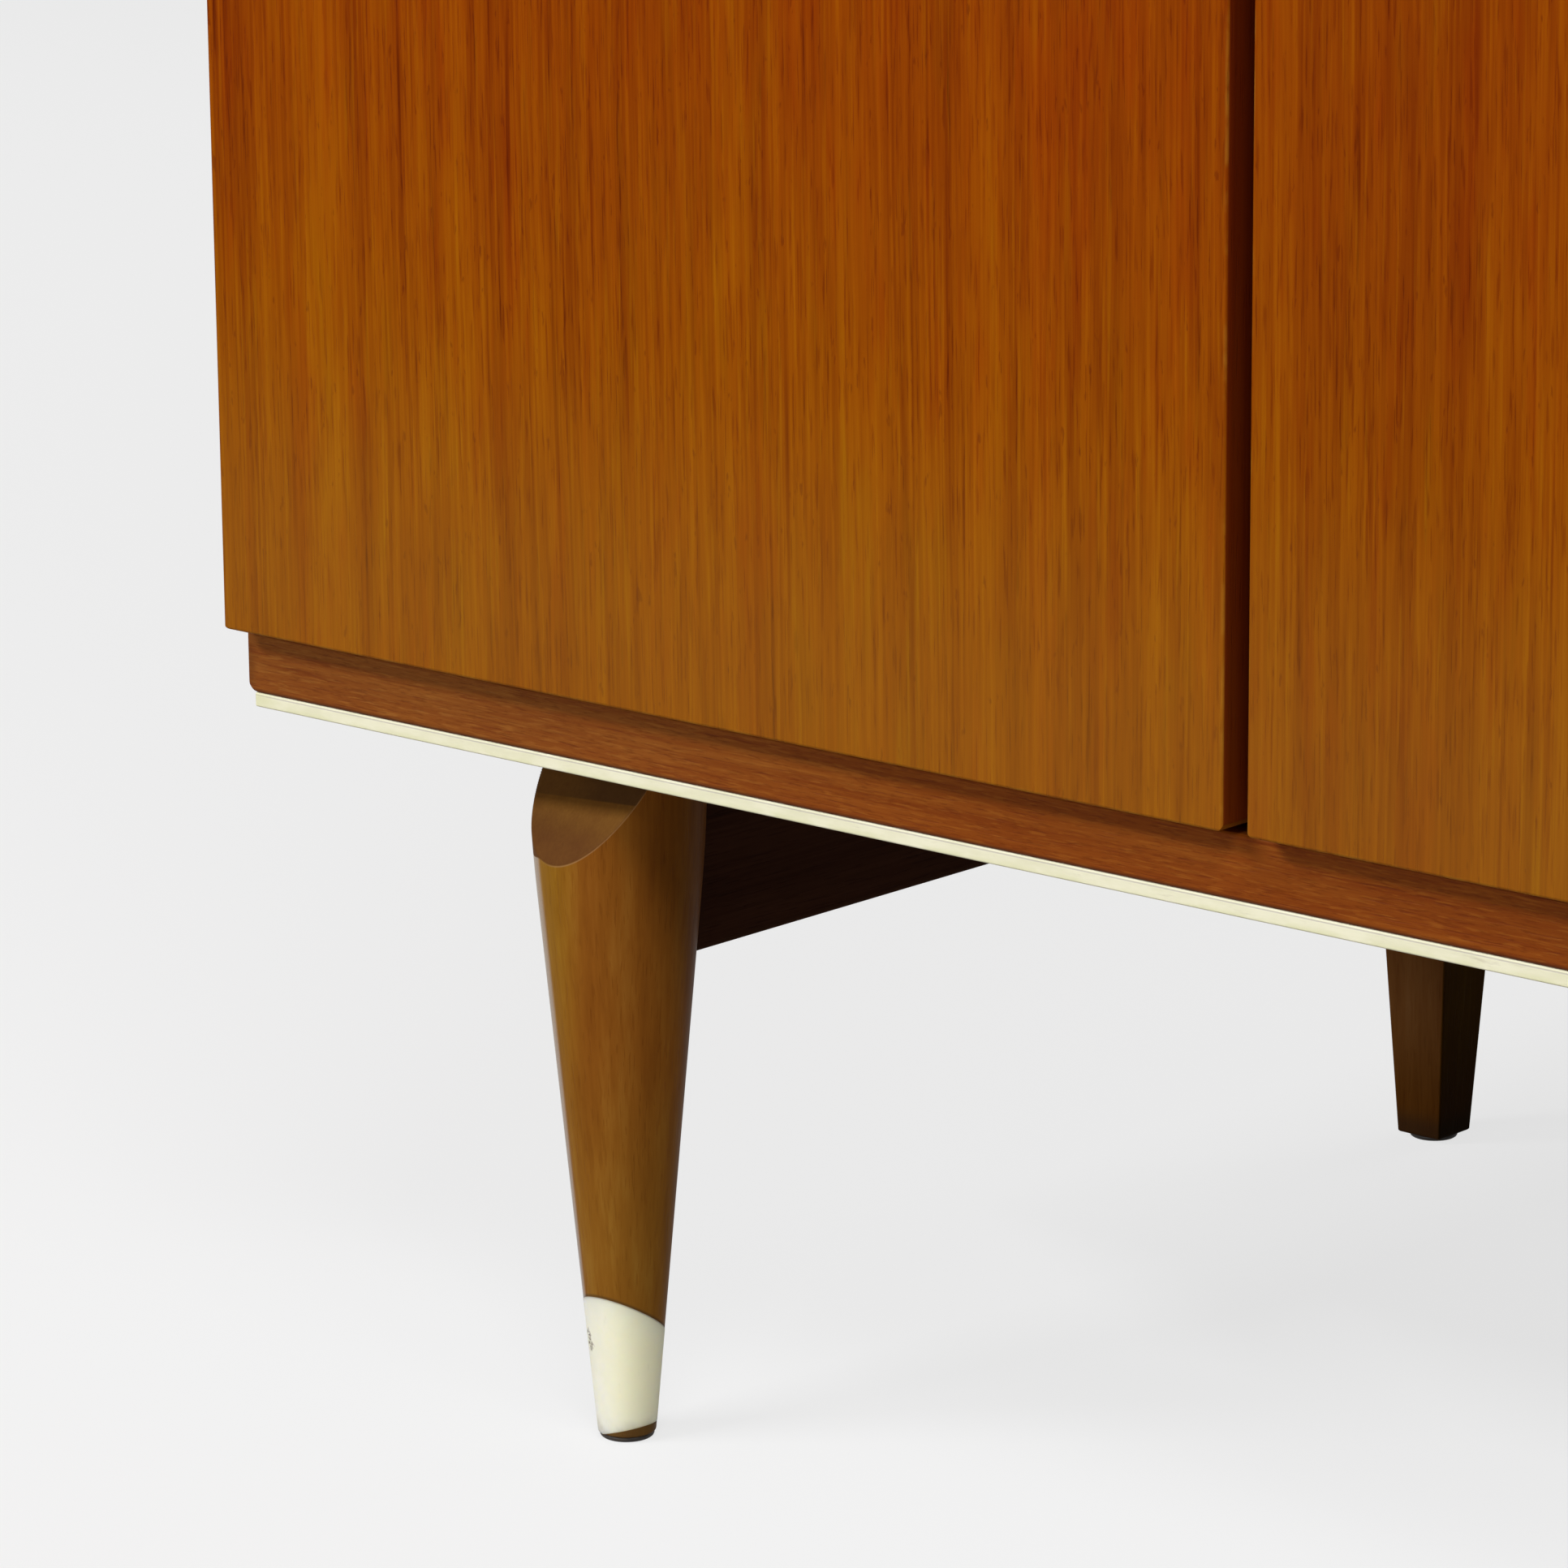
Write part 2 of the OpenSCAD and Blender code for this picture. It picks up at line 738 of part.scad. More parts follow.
left_side_panel();
right_side_panel();
top_panel();
bottom_panel();
back_panel();
top_rail();
bottom_rail();
base_trim();
carcass_dowels();
hat_shelf();
shelf_cleats();
cleat_screws();
hanging_rail();
rail_sockets();
socket_screws();
left_door();
right_door();
left_case_leaves();
right_case_leaves();
left_door_leaves();
right_door_leaves();
left_hinge_pins();
right_hinge_pins();
case_leaf_screws();
left_door_screws();
right_door_screws();
catch_cases();
catch_screws();
left_strike();
right_strike();
front_left_leg();
front_right_leg();
rear_left_leg();
rear_right_leg();
left_sock();
right_sock();
leg_glides();
left_stretcher();
right_stretcher();
frame_cleats();
frame_screws();
leg_bolts();
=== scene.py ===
"""The looks of a teak wardrobe: its case, doors, fittings, legs and socks.

Metres. Z is up, the doors face -Y, and the origin lies on the floor under the middle.
"""
import math

import bpy
from mathutils import Matrix, Vector


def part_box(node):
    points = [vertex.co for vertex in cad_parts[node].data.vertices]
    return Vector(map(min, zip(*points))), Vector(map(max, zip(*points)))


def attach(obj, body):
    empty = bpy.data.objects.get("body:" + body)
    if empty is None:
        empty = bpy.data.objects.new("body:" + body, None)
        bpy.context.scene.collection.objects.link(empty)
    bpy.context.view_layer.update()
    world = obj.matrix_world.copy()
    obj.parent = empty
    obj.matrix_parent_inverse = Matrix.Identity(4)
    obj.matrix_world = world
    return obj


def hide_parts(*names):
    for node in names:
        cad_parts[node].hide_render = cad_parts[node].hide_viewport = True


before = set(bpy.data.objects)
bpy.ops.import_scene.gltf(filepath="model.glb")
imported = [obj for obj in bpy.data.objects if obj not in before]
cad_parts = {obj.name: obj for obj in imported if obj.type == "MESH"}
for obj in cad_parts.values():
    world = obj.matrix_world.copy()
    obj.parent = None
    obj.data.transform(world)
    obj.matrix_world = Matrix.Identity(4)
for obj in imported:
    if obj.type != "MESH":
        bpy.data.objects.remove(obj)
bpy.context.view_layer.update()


# The camera
# It stands at the front right and looks 14 degrees down on the lower left part of the
# wardrobe, through a long lens.
IMAGE_PX = 1932
FOCAL_PX = 8128.4
SENSOR = 36.0
CAMERA_PLACE = Vector((1.2301, -1.8500, 0.7937))
CAMERA_YAW = math.radians(42.209)
CAMERA_PITCH = math.radians(13.963)
CAMERA_ROLL = math.radians(0.475)



def put(name, data):
    """Puts an object that has this data into the scene."""
    made = bpy.data.objects.new(name, data)
    bpy.context.scene.collection.objects.link(made)
    return made


lens = bpy.data.cameras.new("camera")
lens.sensor_width = SENSOR
lens.lens = FOCAL_PX / IMAGE_PX * SENSOR
camera = put("camera", lens)
bpy.context.scene.camera = camera
forward = Vector((
    -math.sin(CAMERA_YAW) * math.cos(CAMERA_PITCH),
    math.cos(CAMERA_YAW) * math.cos(CAMERA_PITCH),
    -math.sin(CAMERA_PITCH),
))
level_right = forward.cross(Vector((0, 0, 1))).normalized()
level_up = level_right.cross(forward)
right = level_right * math.cos(CAMERA_ROLL) - level_up * math.sin(CAMERA_ROLL)
axes = Matrix((right, right.cross(forward), -forward)).transposed()
camera.matrix_world = Matrix.Translation(CAMERA_PLACE) @ axes.to_4x4()


# The boards of the case
# Veneered boards joined by dowels. Outside they are faced with teak, and the side panels'
# front edges are lipped in solid teak. Inside they have a light, plain veneer.
class Num:
    """A number in a node tree that stands in Python expressions."""

    def __init__(self, tree, socket):
        self.tree = tree
        self.socket = socket

    def join(self, operation, first, second=0.0):
        made = self.tree.node("ShaderNodeMath", {"operation": operation}, {0: first, 1: second})
        return Num(self.tree, made.outputs[0])

    def __add__(self, other):
        return self.join("ADD", self, other)

    def __sub__(self, other):
        return self.join("SUBTRACT", self, other)

    def __rsub__(self, other):
        return self.join("SUBTRACT", other, self)

    def __mul__(self, other):
        return self.join("MULTIPLY", self, other)

    def __truediv__(self, other):
        return self.join("DIVIDE", self, other)

    def __rtruediv__(self, other):
        return self.join("DIVIDE", other, self)

    def __abs__(self):
        return self.join("ABSOLUTE", self)

    __radd__ = __add__
    __rmul__ = __mul__

    def least(self, other):
        return self.join("MINIMUM", self, other)

    def most(self, other):
        return self.join("MAXIMUM", self, other)

    def rise(self, low, high):
        """0 at low, 1 at high and a smooth step between. Low may be the larger."""
        made = self.tree.node("ShaderNodeMapRange", {"interpolation_type": "SMOOTHSTEP"},
                              {"Value": self, "From Min": low, "From Max": high})
        return Num(self.tree, made.outputs[0])


class Tree:
    """A node tree, with the one way in which this script adds a node to it."""

    def __init__(self, tree):
        self.tree = tree

    def node(self, kind, settings=None, values=None):
        made = self.tree.nodes.new(kind)
        for name, value in (settings or {}).items():
            setattr(made, name, value)
        for name, value in (values or {}).items():
            self.feed(made.inputs[name], value)
        return made

    def feed(self, slot, value):
        value = getattr(value, "socket", value)
        if isinstance(value, bpy.types.NodeSocket):
            self.tree.links.new(value, slot)
        elif slot.type == "RGBA":
            slot.default_value = (*value, 1.0)
        else:
            slot.default_value = value


class Finish(Tree):
    """A surface finish, whose patterns lie in the wardrobe's own coordinates."""

    def __init__(self, name, constants=None):
        self.material = bpy.data.materials.new(name)
        self.material.use_nodes = True
        super().__init__(self.material.node_tree)
        self.surface = self.tree.nodes["Principled BSDF"]
        for slot, value in (constants or {}).items():
            self.feed(self.surface.inputs[slot], value)
        self.place = self.node("ShaderNodeTexCoord").outputs["Object"]
        split = self.node("ShaderNodeSeparateXYZ", None, {0: self.place})
        self.x, self.y, self.z = (Num(self, socket) for socket in split.outputs)

    def vector(self, operation, first, second, third=(0, 0, 0)):
        made = self.node("ShaderNodeVectorMath", {"operation": operation}, {0: first, 1: second, 2: third})
        return made.outputs[0]

    def noise(self, cycles, detail=2.0, roughness=0.5, shift=0.0, place=None, out="Fac"):
        """Noise with so many cycles a metre along x, y and z."""
        scaled = self.vector("MULTIPLY_ADD", place or self.place, cycles, (shift, shift * 1.7, shift * 2.3))
        made = self.node("ShaderNodeTexNoise", None, {
            "Vector": scaled, "Scale": 1.0, "Detail": detail, "Roughness": roughness})
        return Num(self, made.outputs[out])

    def mix(self, share, low, high):
        made = self.node("ShaderNodeMix", {"data_type": "RGBA"}, {0: share, 6: low, 7: high})
        return made.outputs[2]

    def tint(self, share, colour, factors):
        """The colour, multiplied by these factors where the share is 1."""
        return self.mix(share, colour, self.vector("MULTIPLY", colour, factors))

    def shade(self, share, colours):
        """Colours spread evenly over a share from 0 to 1."""
        made = self.node("ShaderNodeValToRGB", None, {0: share})
        stops = made.color_ramp.elements
        while len(stops) < len(colours):
            stops.new(0.5)
        for i, colour in enumerate(colours):
            stops[i].position = i / (len(colours) - 1)
            stops[i].color = (*colour, 1.0)
        return made.outputs["Color"]

    def wear(self, colour, roughness, height, depth):
        """Gives the surface its colour, its roughness and a fine relief."""
        self.feed(self.surface.inputs["Base Color"], colour)
        self.feed(self.surface.inputs["Roughness"], roughness)
        bump = self.node("ShaderNodeBump", None, {"Height": height, "Distance": depth})
        self.feed(self.surface.inputs["Normal"], bump.outputs[0])
        return self.material


def along(run, across, lengthwise):
    """Cycles a metre for a pattern that is stretched along the axis run."""
    return tuple(lengthwise if axis == run else across for axis in "xyz")


def straight_grain(finish, run, ramp, shift=0.0, fine=1.0):
    """Straight-grained wood along an axis: its colour, and the height of its fibres and pores."""
    drift = finish.noise(along(run, 5.0, 1.6), 1.0, 0.5, shift, out="Color")
    place = finish.vector("MULTIPLY_ADD", drift, (0.014, 0.014, 0.014), finish.place)

    def layer(across, lengthwise, detail, turn):
        return finish.noise(along(run, across, lengthwise), detail, 0.6, shift + turn, place) - 0.5

    wide = layer(16, 0.6, 1.0, 3.1)
    band = layer(110, 0.9, 2.0, 5.7)
    fibre = layer(700, 12.0, 3.0, 11.9)
    pores = layer(1100, 55.0, 1.0, 14.2).rise(0.08, 0.20)
    cloud = layer(90, 20.0, 2.0, 29.4)
    # The dark lines of the growth rings run far, crowd together in places and fade in others.
    crowd = layer(26, 1.0, 1.0, 17.6).rise(-0.12, 0.14) * 0.75 + 0.25
    rings = layer(360, 2.6, 2.0, 20.8).rise(0.0, 0.22) * crowd * (layer(420, 18.0, 1.0, 26.3) * 1.8 + 0.7)
    tone = 0.64 + wide * 0.18 + band * 0.85 + cloud * 0.35
    tone = tone + (fibre * 0.80 - rings * 0.34 - pores * 0.22) * fine
    return finish.shade(tone, ramp), fibre * 0.5 - pores


def dress(material, *nodes):
    for name in nodes:
        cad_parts[name].data.materials[0] = material


TEAK = [(0.125, 0.026, 0.002), (0.205, 0.046, 0.003), (0.275, 0.072, 0.004), (0.345, 0.118, 0.010)]
PALE_VENEER = [(0.26, 0.13, 0.052), (0.44, 0.25, 0.11), (0.55, 0.34, 0.17)]
SIDE_LO, SIDE_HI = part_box("left_side_panel")
SIDE_MIDDLE = abs(SIDE_LO.x + SIDE_HI.x) / 2
TOP_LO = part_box("top_panel")[0]
SHELF_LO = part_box("hat_shelf")[0]
BOTTOM_LO, BOTTOM_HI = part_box("bottom_panel")
LIPPING = 0.004


def side_finish():
    finish = Finish("case_side_teak", {"Specular IOR Level": 0.04})
    teak, height = straight_grain(finish, "z", TEAK, 21.0)
    plain = straight_grain(finish, "z", PALE_VENEER, 4.0, 0.7)[0]
    outer = abs(finish.x).rise(SIDE_MIDDLE, SIDE_MIDDLE + 0.0002)
    front = finish.y.rise(SIDE_LO.y + LIPPING, SIDE_LO.y + LIPPING - 0.0002)
    colour = finish.mix(outer.most(front), plain, teak)
    seam = 1 - abs(finish.y - (SIDE_LO.y + LIPPING)).rise(0.0, 0.00035)
    colour = finish.mix(seam * 0.5, colour, (0.07, 0.02, 0.004))
    sheen = finish.noise((9, 9, 6), 3.0, 0.6, 2.0) * 0.16 + 0.40
    return finish.wear(colour, sheen, height, 0.00006)


def top_finish():
    finish = Finish("case_top_teak", {"Specular IOR Level": 0.05})
    teak, height = straight_grain(finish, "x", TEAK, 31.0)
    plain = straight_grain(finish, "x", PALE_VENEER, 6.0, 0.7)[0]
    colour = finish.mix(finish.z.rise(TOP_LO.z + 0.0006, TOP_LO.z + 0.0008), plain, teak)
    # Dust and wear leave the top a little duller and paler in patches.
    patch = finish.noise((5, 5, 5), 4.0, 0.6, 8.0).rise(0.45, 0.7)
    colour = finish.mix(patch * 0.12, colour, (0.33, 0.15, 0.05))
    return finish.wear(colour, patch * 0.06 + 0.46, height, 0.00006)


def inside_finish():
    finish = Finish("inside_veneer", {"Specular IOR Level": 0.1})
    colour, height = straight_grain(finish, "x", PALE_VENEER, 9.0, 0.7)
    # The bottom's ends are lipped in teak like the sides.
    end = abs(finish.x).rise(BOTTOM_HI.x - 0.0004, BOTTOM_HI.x - 0.0002)
    colour = finish.mix(end, colour, straight_grain(finish, "y", TEAK, 25.0)[0])
    # The shelf's front edge is lipped, and the underside of the bottom is stained dark.
    on_shelf = finish.z.rise(SHELF_LO.z - 0.01, SHELF_LO.z - 0.009)
    seam = (1 - abs(finish.y - (SHELF_LO.y + LIPPING)).rise(0.0, 0.00035)) * on_shelf
    colour = finish.mix(seam * 0.6, colour, (0.10, 0.04, 0.015))
    below = finish.z.rise(BOTTOM_LO.z + 0.0006, BOTTOM_LO.z + 0.0004)
    colour = finish.mix(below, colour, (0.045, 0.020, 0.009))
    dirt = finish.noise((7, 7, 7), 4.0, 0.6, 3.0).rise(0.5, 0.75)
    colour = finish.mix(dirt * 0.15, colour, (0.16, 0.08, 0.03))
    return finish.wear(colour, dirt * 0.1 + 0.45, height, 0.00005)


dress(side_finish(), "left_side_panel", "right_side_panel")
dress(top_finish(), "top_panel")
dress(inside_finish(), "bottom_panel", "hat_shelf")


# The back
# A sheet of 5 mm plywood pinned into rabbets, peeled from the log, so its figure is broad
# and wavy. It is left bare.
def plywood_finish():
    finish = Finish("back_plywood", {"Specular IOR Level": 0.15})
    wander = finish.noise((1.6, 1.6, 0.9), 2.0, 0.5, 1.0, out="Color")
    place = finish.vector("MULTIPLY_ADD", wander, (0.30, 0.30, 0.10), finish.place)
    figure = finish.noise((26, 26, 0.8), 3.0, 0.55, 4.0, place)
    fibre = finish.noise((900, 900, 12), 2.0, 0.6, 7.0)
    tone = 0.5 + (figure - 0.5) * 1.5 + (fibre - 0.5) * 0.5
    colour = finish.shade(tone, [(0.30, 0.16, 0.07), (0.46, 0.29, 0.15), (0.56, 0.38, 0.22)])
    return finish.wear(colour, fibre * 0.1 + 0.6, fibre, 0.00005)


dress(plywood_finish(), "back_panel")


# The rails
# Two bars of solid teak across the front, glued on under the top's edge and at the bottom,
# with their corners rounded over. Short dark flecks run along them.
RAIL_LO, RAIL_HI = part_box("bottom_rail")
RAIL_TEAK = [(0.115, 0.024, 0.003), (0.180, 0.044, 0.006), (0.220, 0.064, 0.009), (0.27, 0.092, 0.015)]


def rail_finish():
    finish = Finish("rail_teak", {"Specular IOR Level": 0.06})
    colour, height = straight_grain(finish, "x", RAIL_TEAK, 41.0, 1.1)
    fleck = finish.noise((170, 1600, 1600), 2.0, 0.6, 2.0).rise(0.52, 0.68)
    colour = finish.mix(fleck * 0.40, colour, (0.11, 0.022, 0.002))
    amber = finish.noise((90, 1100, 1100), 2.0, 0.6, 9.0).rise(0.52, 0.68)
    colour = finish.mix(amber * 0.40, colour, (0.32, 0.125, 0.022))
    # The wood is redder towards the middle of the wardrobe.
    colour = finish.tint(abs(finish.x).rise(0.36, 0.10), colour, (0.97, 0.78, 0.50))
    # The ends show darker end grain, and it is darker along the joint above the trim.
    end = abs(finish.x).rise(RAIL_HI.x - 0.0060, RAIL_HI.x - 0.0004)
    colour = finish.mix(end * 0.45, colour, (0.09, 0.026, 0.006))
    foot = finish.z.rise(RAIL_LO.z + 0.0020, RAIL_LO.z + 0.0005)
    colour = finish.mix(foot * 0.75, colour, (0.060, 0.015, 0.005))
    sheen = finish.noise((30, 30, 30), 3.0, 0.6, 5.0) * 0.16 + 0.36
    return finish.wear(colour, sheen, height - fleck * 0.4, 0.00006)


dress(rail_finish(), "bottom_rail", "top_rail")


# The white trim
# A thin painted strip under the bottom rail, with softened edges. The paint shows a fine
# grey line near its upper edge, and faint smudges.
TRIM_LO, TRIM_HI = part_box("base_trim")
TRIM_ROUND = 0.0007


def block(name, low, high, rounding, material, body):
    """A block between two corners, with rounded edges."""
    middle = (low + high) / 2
    bpy.ops.mesh.primitive_cube_add(size=1.0)
    made = bpy.context.object
    made.name = name
    made.data.transform(Matrix.Translation(middle) @ Matrix.Diagonal((*(high - low), 1.0)))
    made.data.materials.append(material)
    made.data.polygons.foreach_set("use_smooth", [True] * len(made.data.polygons))
    edge = made.modifiers.new("edges", "BEVEL")
    edge.width = rounding
    edge.segments = 4
    edge.limit_method = "NONE"
    edge.harden_normals = True
    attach(made, body)
    return made


def trim_finish():
    finish = Finish("trim_white_paint", {"Specular IOR Level": 0.3})
    mottle = finish.noise((60, 60, 200), 3.0, 0.6, 1.0)
    colour = finish.mix(mottle.rise(0.35, 0.75), (0.78, 0.755, 0.57), (0.71, 0.69, 0.49))
    line = 1 - abs(finish.z - (TRIM_HI.z - 0.0010)).rise(0.00008, 0.00032)
    colour = finish.mix(line * 0.55, colour, (0.42, 0.37, 0.38))
    smudge = finish.noise((45, 45, 300), 4.0, 0.7, 6.0).rise(0.60, 0.74)
    colour = finish.mix(smudge * 0.30, colour, (0.36, 0.30, 0.22))
    # The paint has yellowed low down and at the ends.
    aged = finish.z.rise(TRIM_LO.z + 0.0026, TRIM_LO.z + 0.0006)
    aged = aged.most(abs(finish.x).rise(TRIM_HI.x - 0.02, TRIM_HI.x))
    colour = finish.mix(aged * mottle.rise(0.30, 0.60) * 0.45, colour, (0.64, 0.64, 0.36))
    # Painted shade darkens the lower edge.
    edge = finish.z.rise(TRIM_LO.z + 0.0006, TRIM_LO.z + 0.0001)
    colour = finish.mix(edge * 0.4, colour, (0.40, 0.35, 0.26))
    return finish.wear(colour, mottle * 0.2 + 0.35, mottle - line * 0.6, 0.00008)


trim = block("white_trim", TRIM_LO, TRIM_HI, TRIM_ROUND, trim_finish(), "carcass")
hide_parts("base_trim")


# The hanging rail, its sockets and the shelf's cleats
# A plain steel tube in two turned cups screwed to the side panels, and two beech bars that
# carry the hat shelf.
def steel_finish():
    finish = Finish("bright_steel", {"Metallic": 1.0})
    brushed = finish.noise((9, 700, 700), 2.0, 0.6, 3.0)
    stain = finish.noise((30, 30, 30), 4.0, 0.65, 8.0).rise(0.52, 0.72)
    colour = finish.mix(stain * 0.5, (0.56, 0.56, 0.57), (0.34, 0.31, 0.27))
    return finish.wear(colour, 0.22 + brushed * 0.14 + stain * 0.15, brushed, 0.00001)


def beech_finish():
    finish = Finish("beech", {"Specular IOR Level": 0.2})
    ramp = [(0.36, 0.19, 0.085), (0.50, 0.30, 0.15), (0.60, 0.38, 0.20)]
    colour, height = straight_grain(finish, "y", ramp, 51.0, 0.6)
    fleck = finish.noise((900, 180, 900), 1.0, 0.5, 2.0).rise(0.62, 0.70)
    colour = finish.mix(fleck * 0.4, colour, (0.26, 0.12, 0.05))
    return finish.wear(colour, fleck * 0.1 + 0.5, height, 0.00005)


steel = steel_finish()
beech = beech_finish()
dress(steel, "hanging_rail", "rail_sockets", "leg_bolts")
dress(beech, "shelf_cleats", "carcass_dowels")


# The doors
# Two 19 mm boards faced with straight-grained teak, oiled to a low sheen. The colour is
# redder above and yellower, greyer and paler towards the floor, a painted reflection of the
# floor. Their arrises are worn and carry a painted highlight, and their inner faces have the light veneer.
DOOR_LO, DOOR_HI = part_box("left_door")
DOOR_TEAK = [(0.105, 0.015, 0.0003), (0.190, 0.038, 0.0005), (0.266, 0.067, 0.0007), (0.330, 0.104, 0.0014)]
FACE_VENEER = 0.0006


def door_finish(name, low, high, shift, stock):
    finish = Finish(name, {"Specular IOR Level": 0.02})
    colour, height = straight_grain(finish, "z", DOOR_TEAK, shift, 1.1)
    # Thin amber streaks lie among the lines of the grain.
    amber = finish.noise(along("z", 620, 14), 2.0, 0.6, shift + 40.0).rise(0.54, 0.70)
    colour = finish.mix(amber * 0.25, colour, (0.38, 0.145, 0.002))
    # The colour drifts between red and gold in patches, with a few small red-brown marks.
    ruddy = finish.noise(along("z", 75, 9), 3.0, 0.65, shift + 50.0)
    colour = finish.tint(ruddy.rise(0.50, 0.68) * 0.7, colour, (0.97, 0.76, 1.0))
    colour = finish.tint(ruddy.rise(0.46, 0.30) * 0.7, colour, (1.0, 1.18, 1.1))
    mark = finish.noise(along("z", 480, 110), 2.0, 0.6, shift + 60.0).rise(0.66, 0.74)
    colour = finish.mix(mark * 0.45, colour, (0.115, 0.014, 0.002))
    # Painted reflection of the floor: the colour is redder above, and greyer and paler close to the floor.
    colour = finish.tint(finish.z.rise(0.34, 0.52), colour, (0.92, 0.66, 0.35))
    colour = finish.mix(finish.z.rise(0.42, 0.285) * 0.32, colour, (0.25, 0.110, 0.016))
    colour = finish.vector("MULTIPLY", colour, stock)
    edge = (high.x - low.x) / 2 - abs(finish.x - (low.x + high.x) / 2)
    end = (high.z - low.z) / 2 - abs(finish.z - (low.z + high.z) / 2)
    corner = edge.least(end).most(finish.y - low.y)
    # A painted highlight lies along the arrises, which are also worn a little smoother.
    rubbed_highlight = corner.rise(0.0015, 0.0005) * finish.noise((90, 90, 60), 3.0, 0.6, shift).rise(0.42, 0.66)
    colour = finish.mix(rubbed_highlight * 0.35, colour, (0.36, 0.160, 0.015))
    # Behind the face veneer the edges show the darker core, and the inner face is pale.
    core = (finish.y - low.y).rise(FACE_VENEER, FACE_VENEER * 1.4) * edge.least(end).rise(0.0003, 0.0)
    colour = finish.mix(core * 0.80, colour, (0.150, 0.016, 0.002))
    inner = (high.y - finish.y).rise(0.0003, 0.0)
    colour = finish.mix(inner, colour, straight_grain(finish, "z", PALE_VENEER, shift + 3.0, 0.7)[0])
    sheen = finish.noise((14, 14, 9), 3.0, 0.6, shift) * 0.16 + 0.42
    return finish.wear(colour, sheen - rubbed_highlight * 0.06, height, 0.00007)


dress(door_finish("left_door_teak", *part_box("left_door"), 0.0, (0.96, 0.98, 0.9)), "left_door")
dress(door_finish("right_door_teak", *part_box("right_door"), 7.3, (0.90, 0.90, 0.90)), "right_door")


# The hinges
# Three pairs of butt hinges of drawn brass, dulled by age, with a loose pin each. One leaf
# is screwed to the side panel's front edge and the other to the back of the door.
def brass_finish():
    finish = Finish("aged_brass", {"Metallic": 1.0})
    drawn = finish.noise((600, 600, 25), 2.0, 0.6, 1.0)
    tarnish = finish.noise((70, 70, 40), 4.0, 0.65, 5.0).rise(0.42, 0.68)
    colour = finish.mix(tarnish * 0.7, (0.68, 0.47, 0.18), (0.30, 0.18, 0.065))
    return finish.wear(colour, 0.26 + tarnish * 0.20 + drawn * 0.08, drawn, 0.00001)


brass = brass_finish()
dress(brass, "left_case_leaves", "right_case_leaves", "left_door_leaves", "right_door_leaves")
dress(brass, "left_hinge_pins", "right_hinge_pins")


# The catches
# Moulded brown cases under the top board, each with two steel poles around its magnet, and
# a steel strike plate on the back of each door.
CATCH_LO, CATCH_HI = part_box("catch_cases")
CATCH_W = 0.040
POLE_T = 0.0012


def catch_finish():
    finish = Finish("brown_plastic", {"Specular IOR Level": 0.45})
    grain = finish.noise((1500, 1500, 1500), 2.0, 0.5, 2.0)
    colour = finish.mix(grain, (0.050, 0.024, 0.013), (0.075, 0.038, 0.021))
    return finish.wear(colour, grain * 0.2 + 0.35, grain, 0.00003)


catch_plastic = catch_finish()
for side, name in ((-1, "left"), (1, "right")):
    middle = side * (CATCH_HI.x - CATCH_W / 2)
    low = Vector((middle - CATCH_W / 2, CATCH_LO.y + 0.0005, CATCH_LO.z))
    high = Vector((middle + CATCH_W / 2, CATCH_HI.y, CATCH_HI.z))
    case = block(name + "_catch", low, high, 0.0012, catch_plastic, "carcass")
    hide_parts("catch_cases")
    for level in (0.3, 0.7):
        z = CATCH_LO.z + level * (CATCH_HI.z - CATCH_LO.z)
        low = Vector((middle - CATCH_W * 0.36, CATCH_LO.y, z - POLE_T / 2))
        high = Vector((middle + CATCH_W * 0.36, CATCH_LO.y + 0.006, z + POLE_T / 2))
        pole = block(f"{name}_pole_{int(level * 10)}", low, high, 0.0002, steel, "carcass")
dress(steel, "left_strike", "right_strike")


# The screws
# Slotted countersunk screws, each turned home to its own angle. They stand in rows: three to
# a hinge leaf, and others in the strikes, catches, cleats and sockets.
HEAD_R = 0.0029
SHANK_R = 0.0016
HEAD_H = 0.0013
SLOT_W = 0.0008
SLOT_H = 0.0007
SHANK_L = 0.009
HEAD_STEPS = 9
SHANK_STEPS = 12


def plain_mesh(name, points, faces, material):
    mesh = bpy.data.meshes.new(name)
    mesh.from_pydata(points, [], faces)
    mesh.materials.append(material)
    return mesh


def screw_mesh(material):
    """A screw whose head lies in z = 0 and faces +Z. Two half heads stand beside the slot."""
    points = []
    faces = []
    start = math.asin(SLOT_W / 2 / HEAD_R)
    rim = [start + (math.pi - 2 * start) * i / HEAD_STEPS for i in range(HEAD_STEPS + 1)]
    row = len(rim)
    for side in (1, -1):
        first = len(points)
        for angle in rim:
            points.append((HEAD_R * math.cos(angle), side * HEAD_R * math.sin(angle), 0.0))
        for angle in rim:
            points.append((SHANK_R * math.cos(angle), side * SHANK_R * math.sin(angle), -HEAD_H))
        top = list(range(first, first + row))
        faces.append(top if side == 1 else top[::-1])
        for i in range(HEAD_STEPS):
            strip = [first + i, first + row + i, first + row + i + 1, first + i + 1]
            faces.append(strip if side == 1 else strip[::-1])
        for end in (first, first + HEAD_STEPS):
            x, y, _ = points[end]
            points.append((x, y, -SLOT_H))
        wall = [first + HEAD_STEPS, first, first + 2 * row, first + 2 * row + 1]
        faces.append(wall if side == 1 else wall[::-1])
    # The slot's floor joins the last two points of both half heads.
    half = len(points) // 2
    faces.append((2 * half - 2, 2 * half - 1, half - 1, half - 2))
    ring = len(points)
    for z in (-HEAD_H, -SHANK_L):
        for i in range(SHANK_STEPS):
            angle = math.tau * i / SHANK_STEPS
            points.append((SHANK_R * math.cos(angle), SHANK_R * math.sin(angle), z))
    for i in range(SHANK_STEPS):
        j = (i + 1) % SHANK_STEPS
        faces.append((ring + i, ring + SHANK_STEPS + i, ring + SHANK_STEPS + j, ring + j))
    return plain_mesh("screw", points, faces, material)


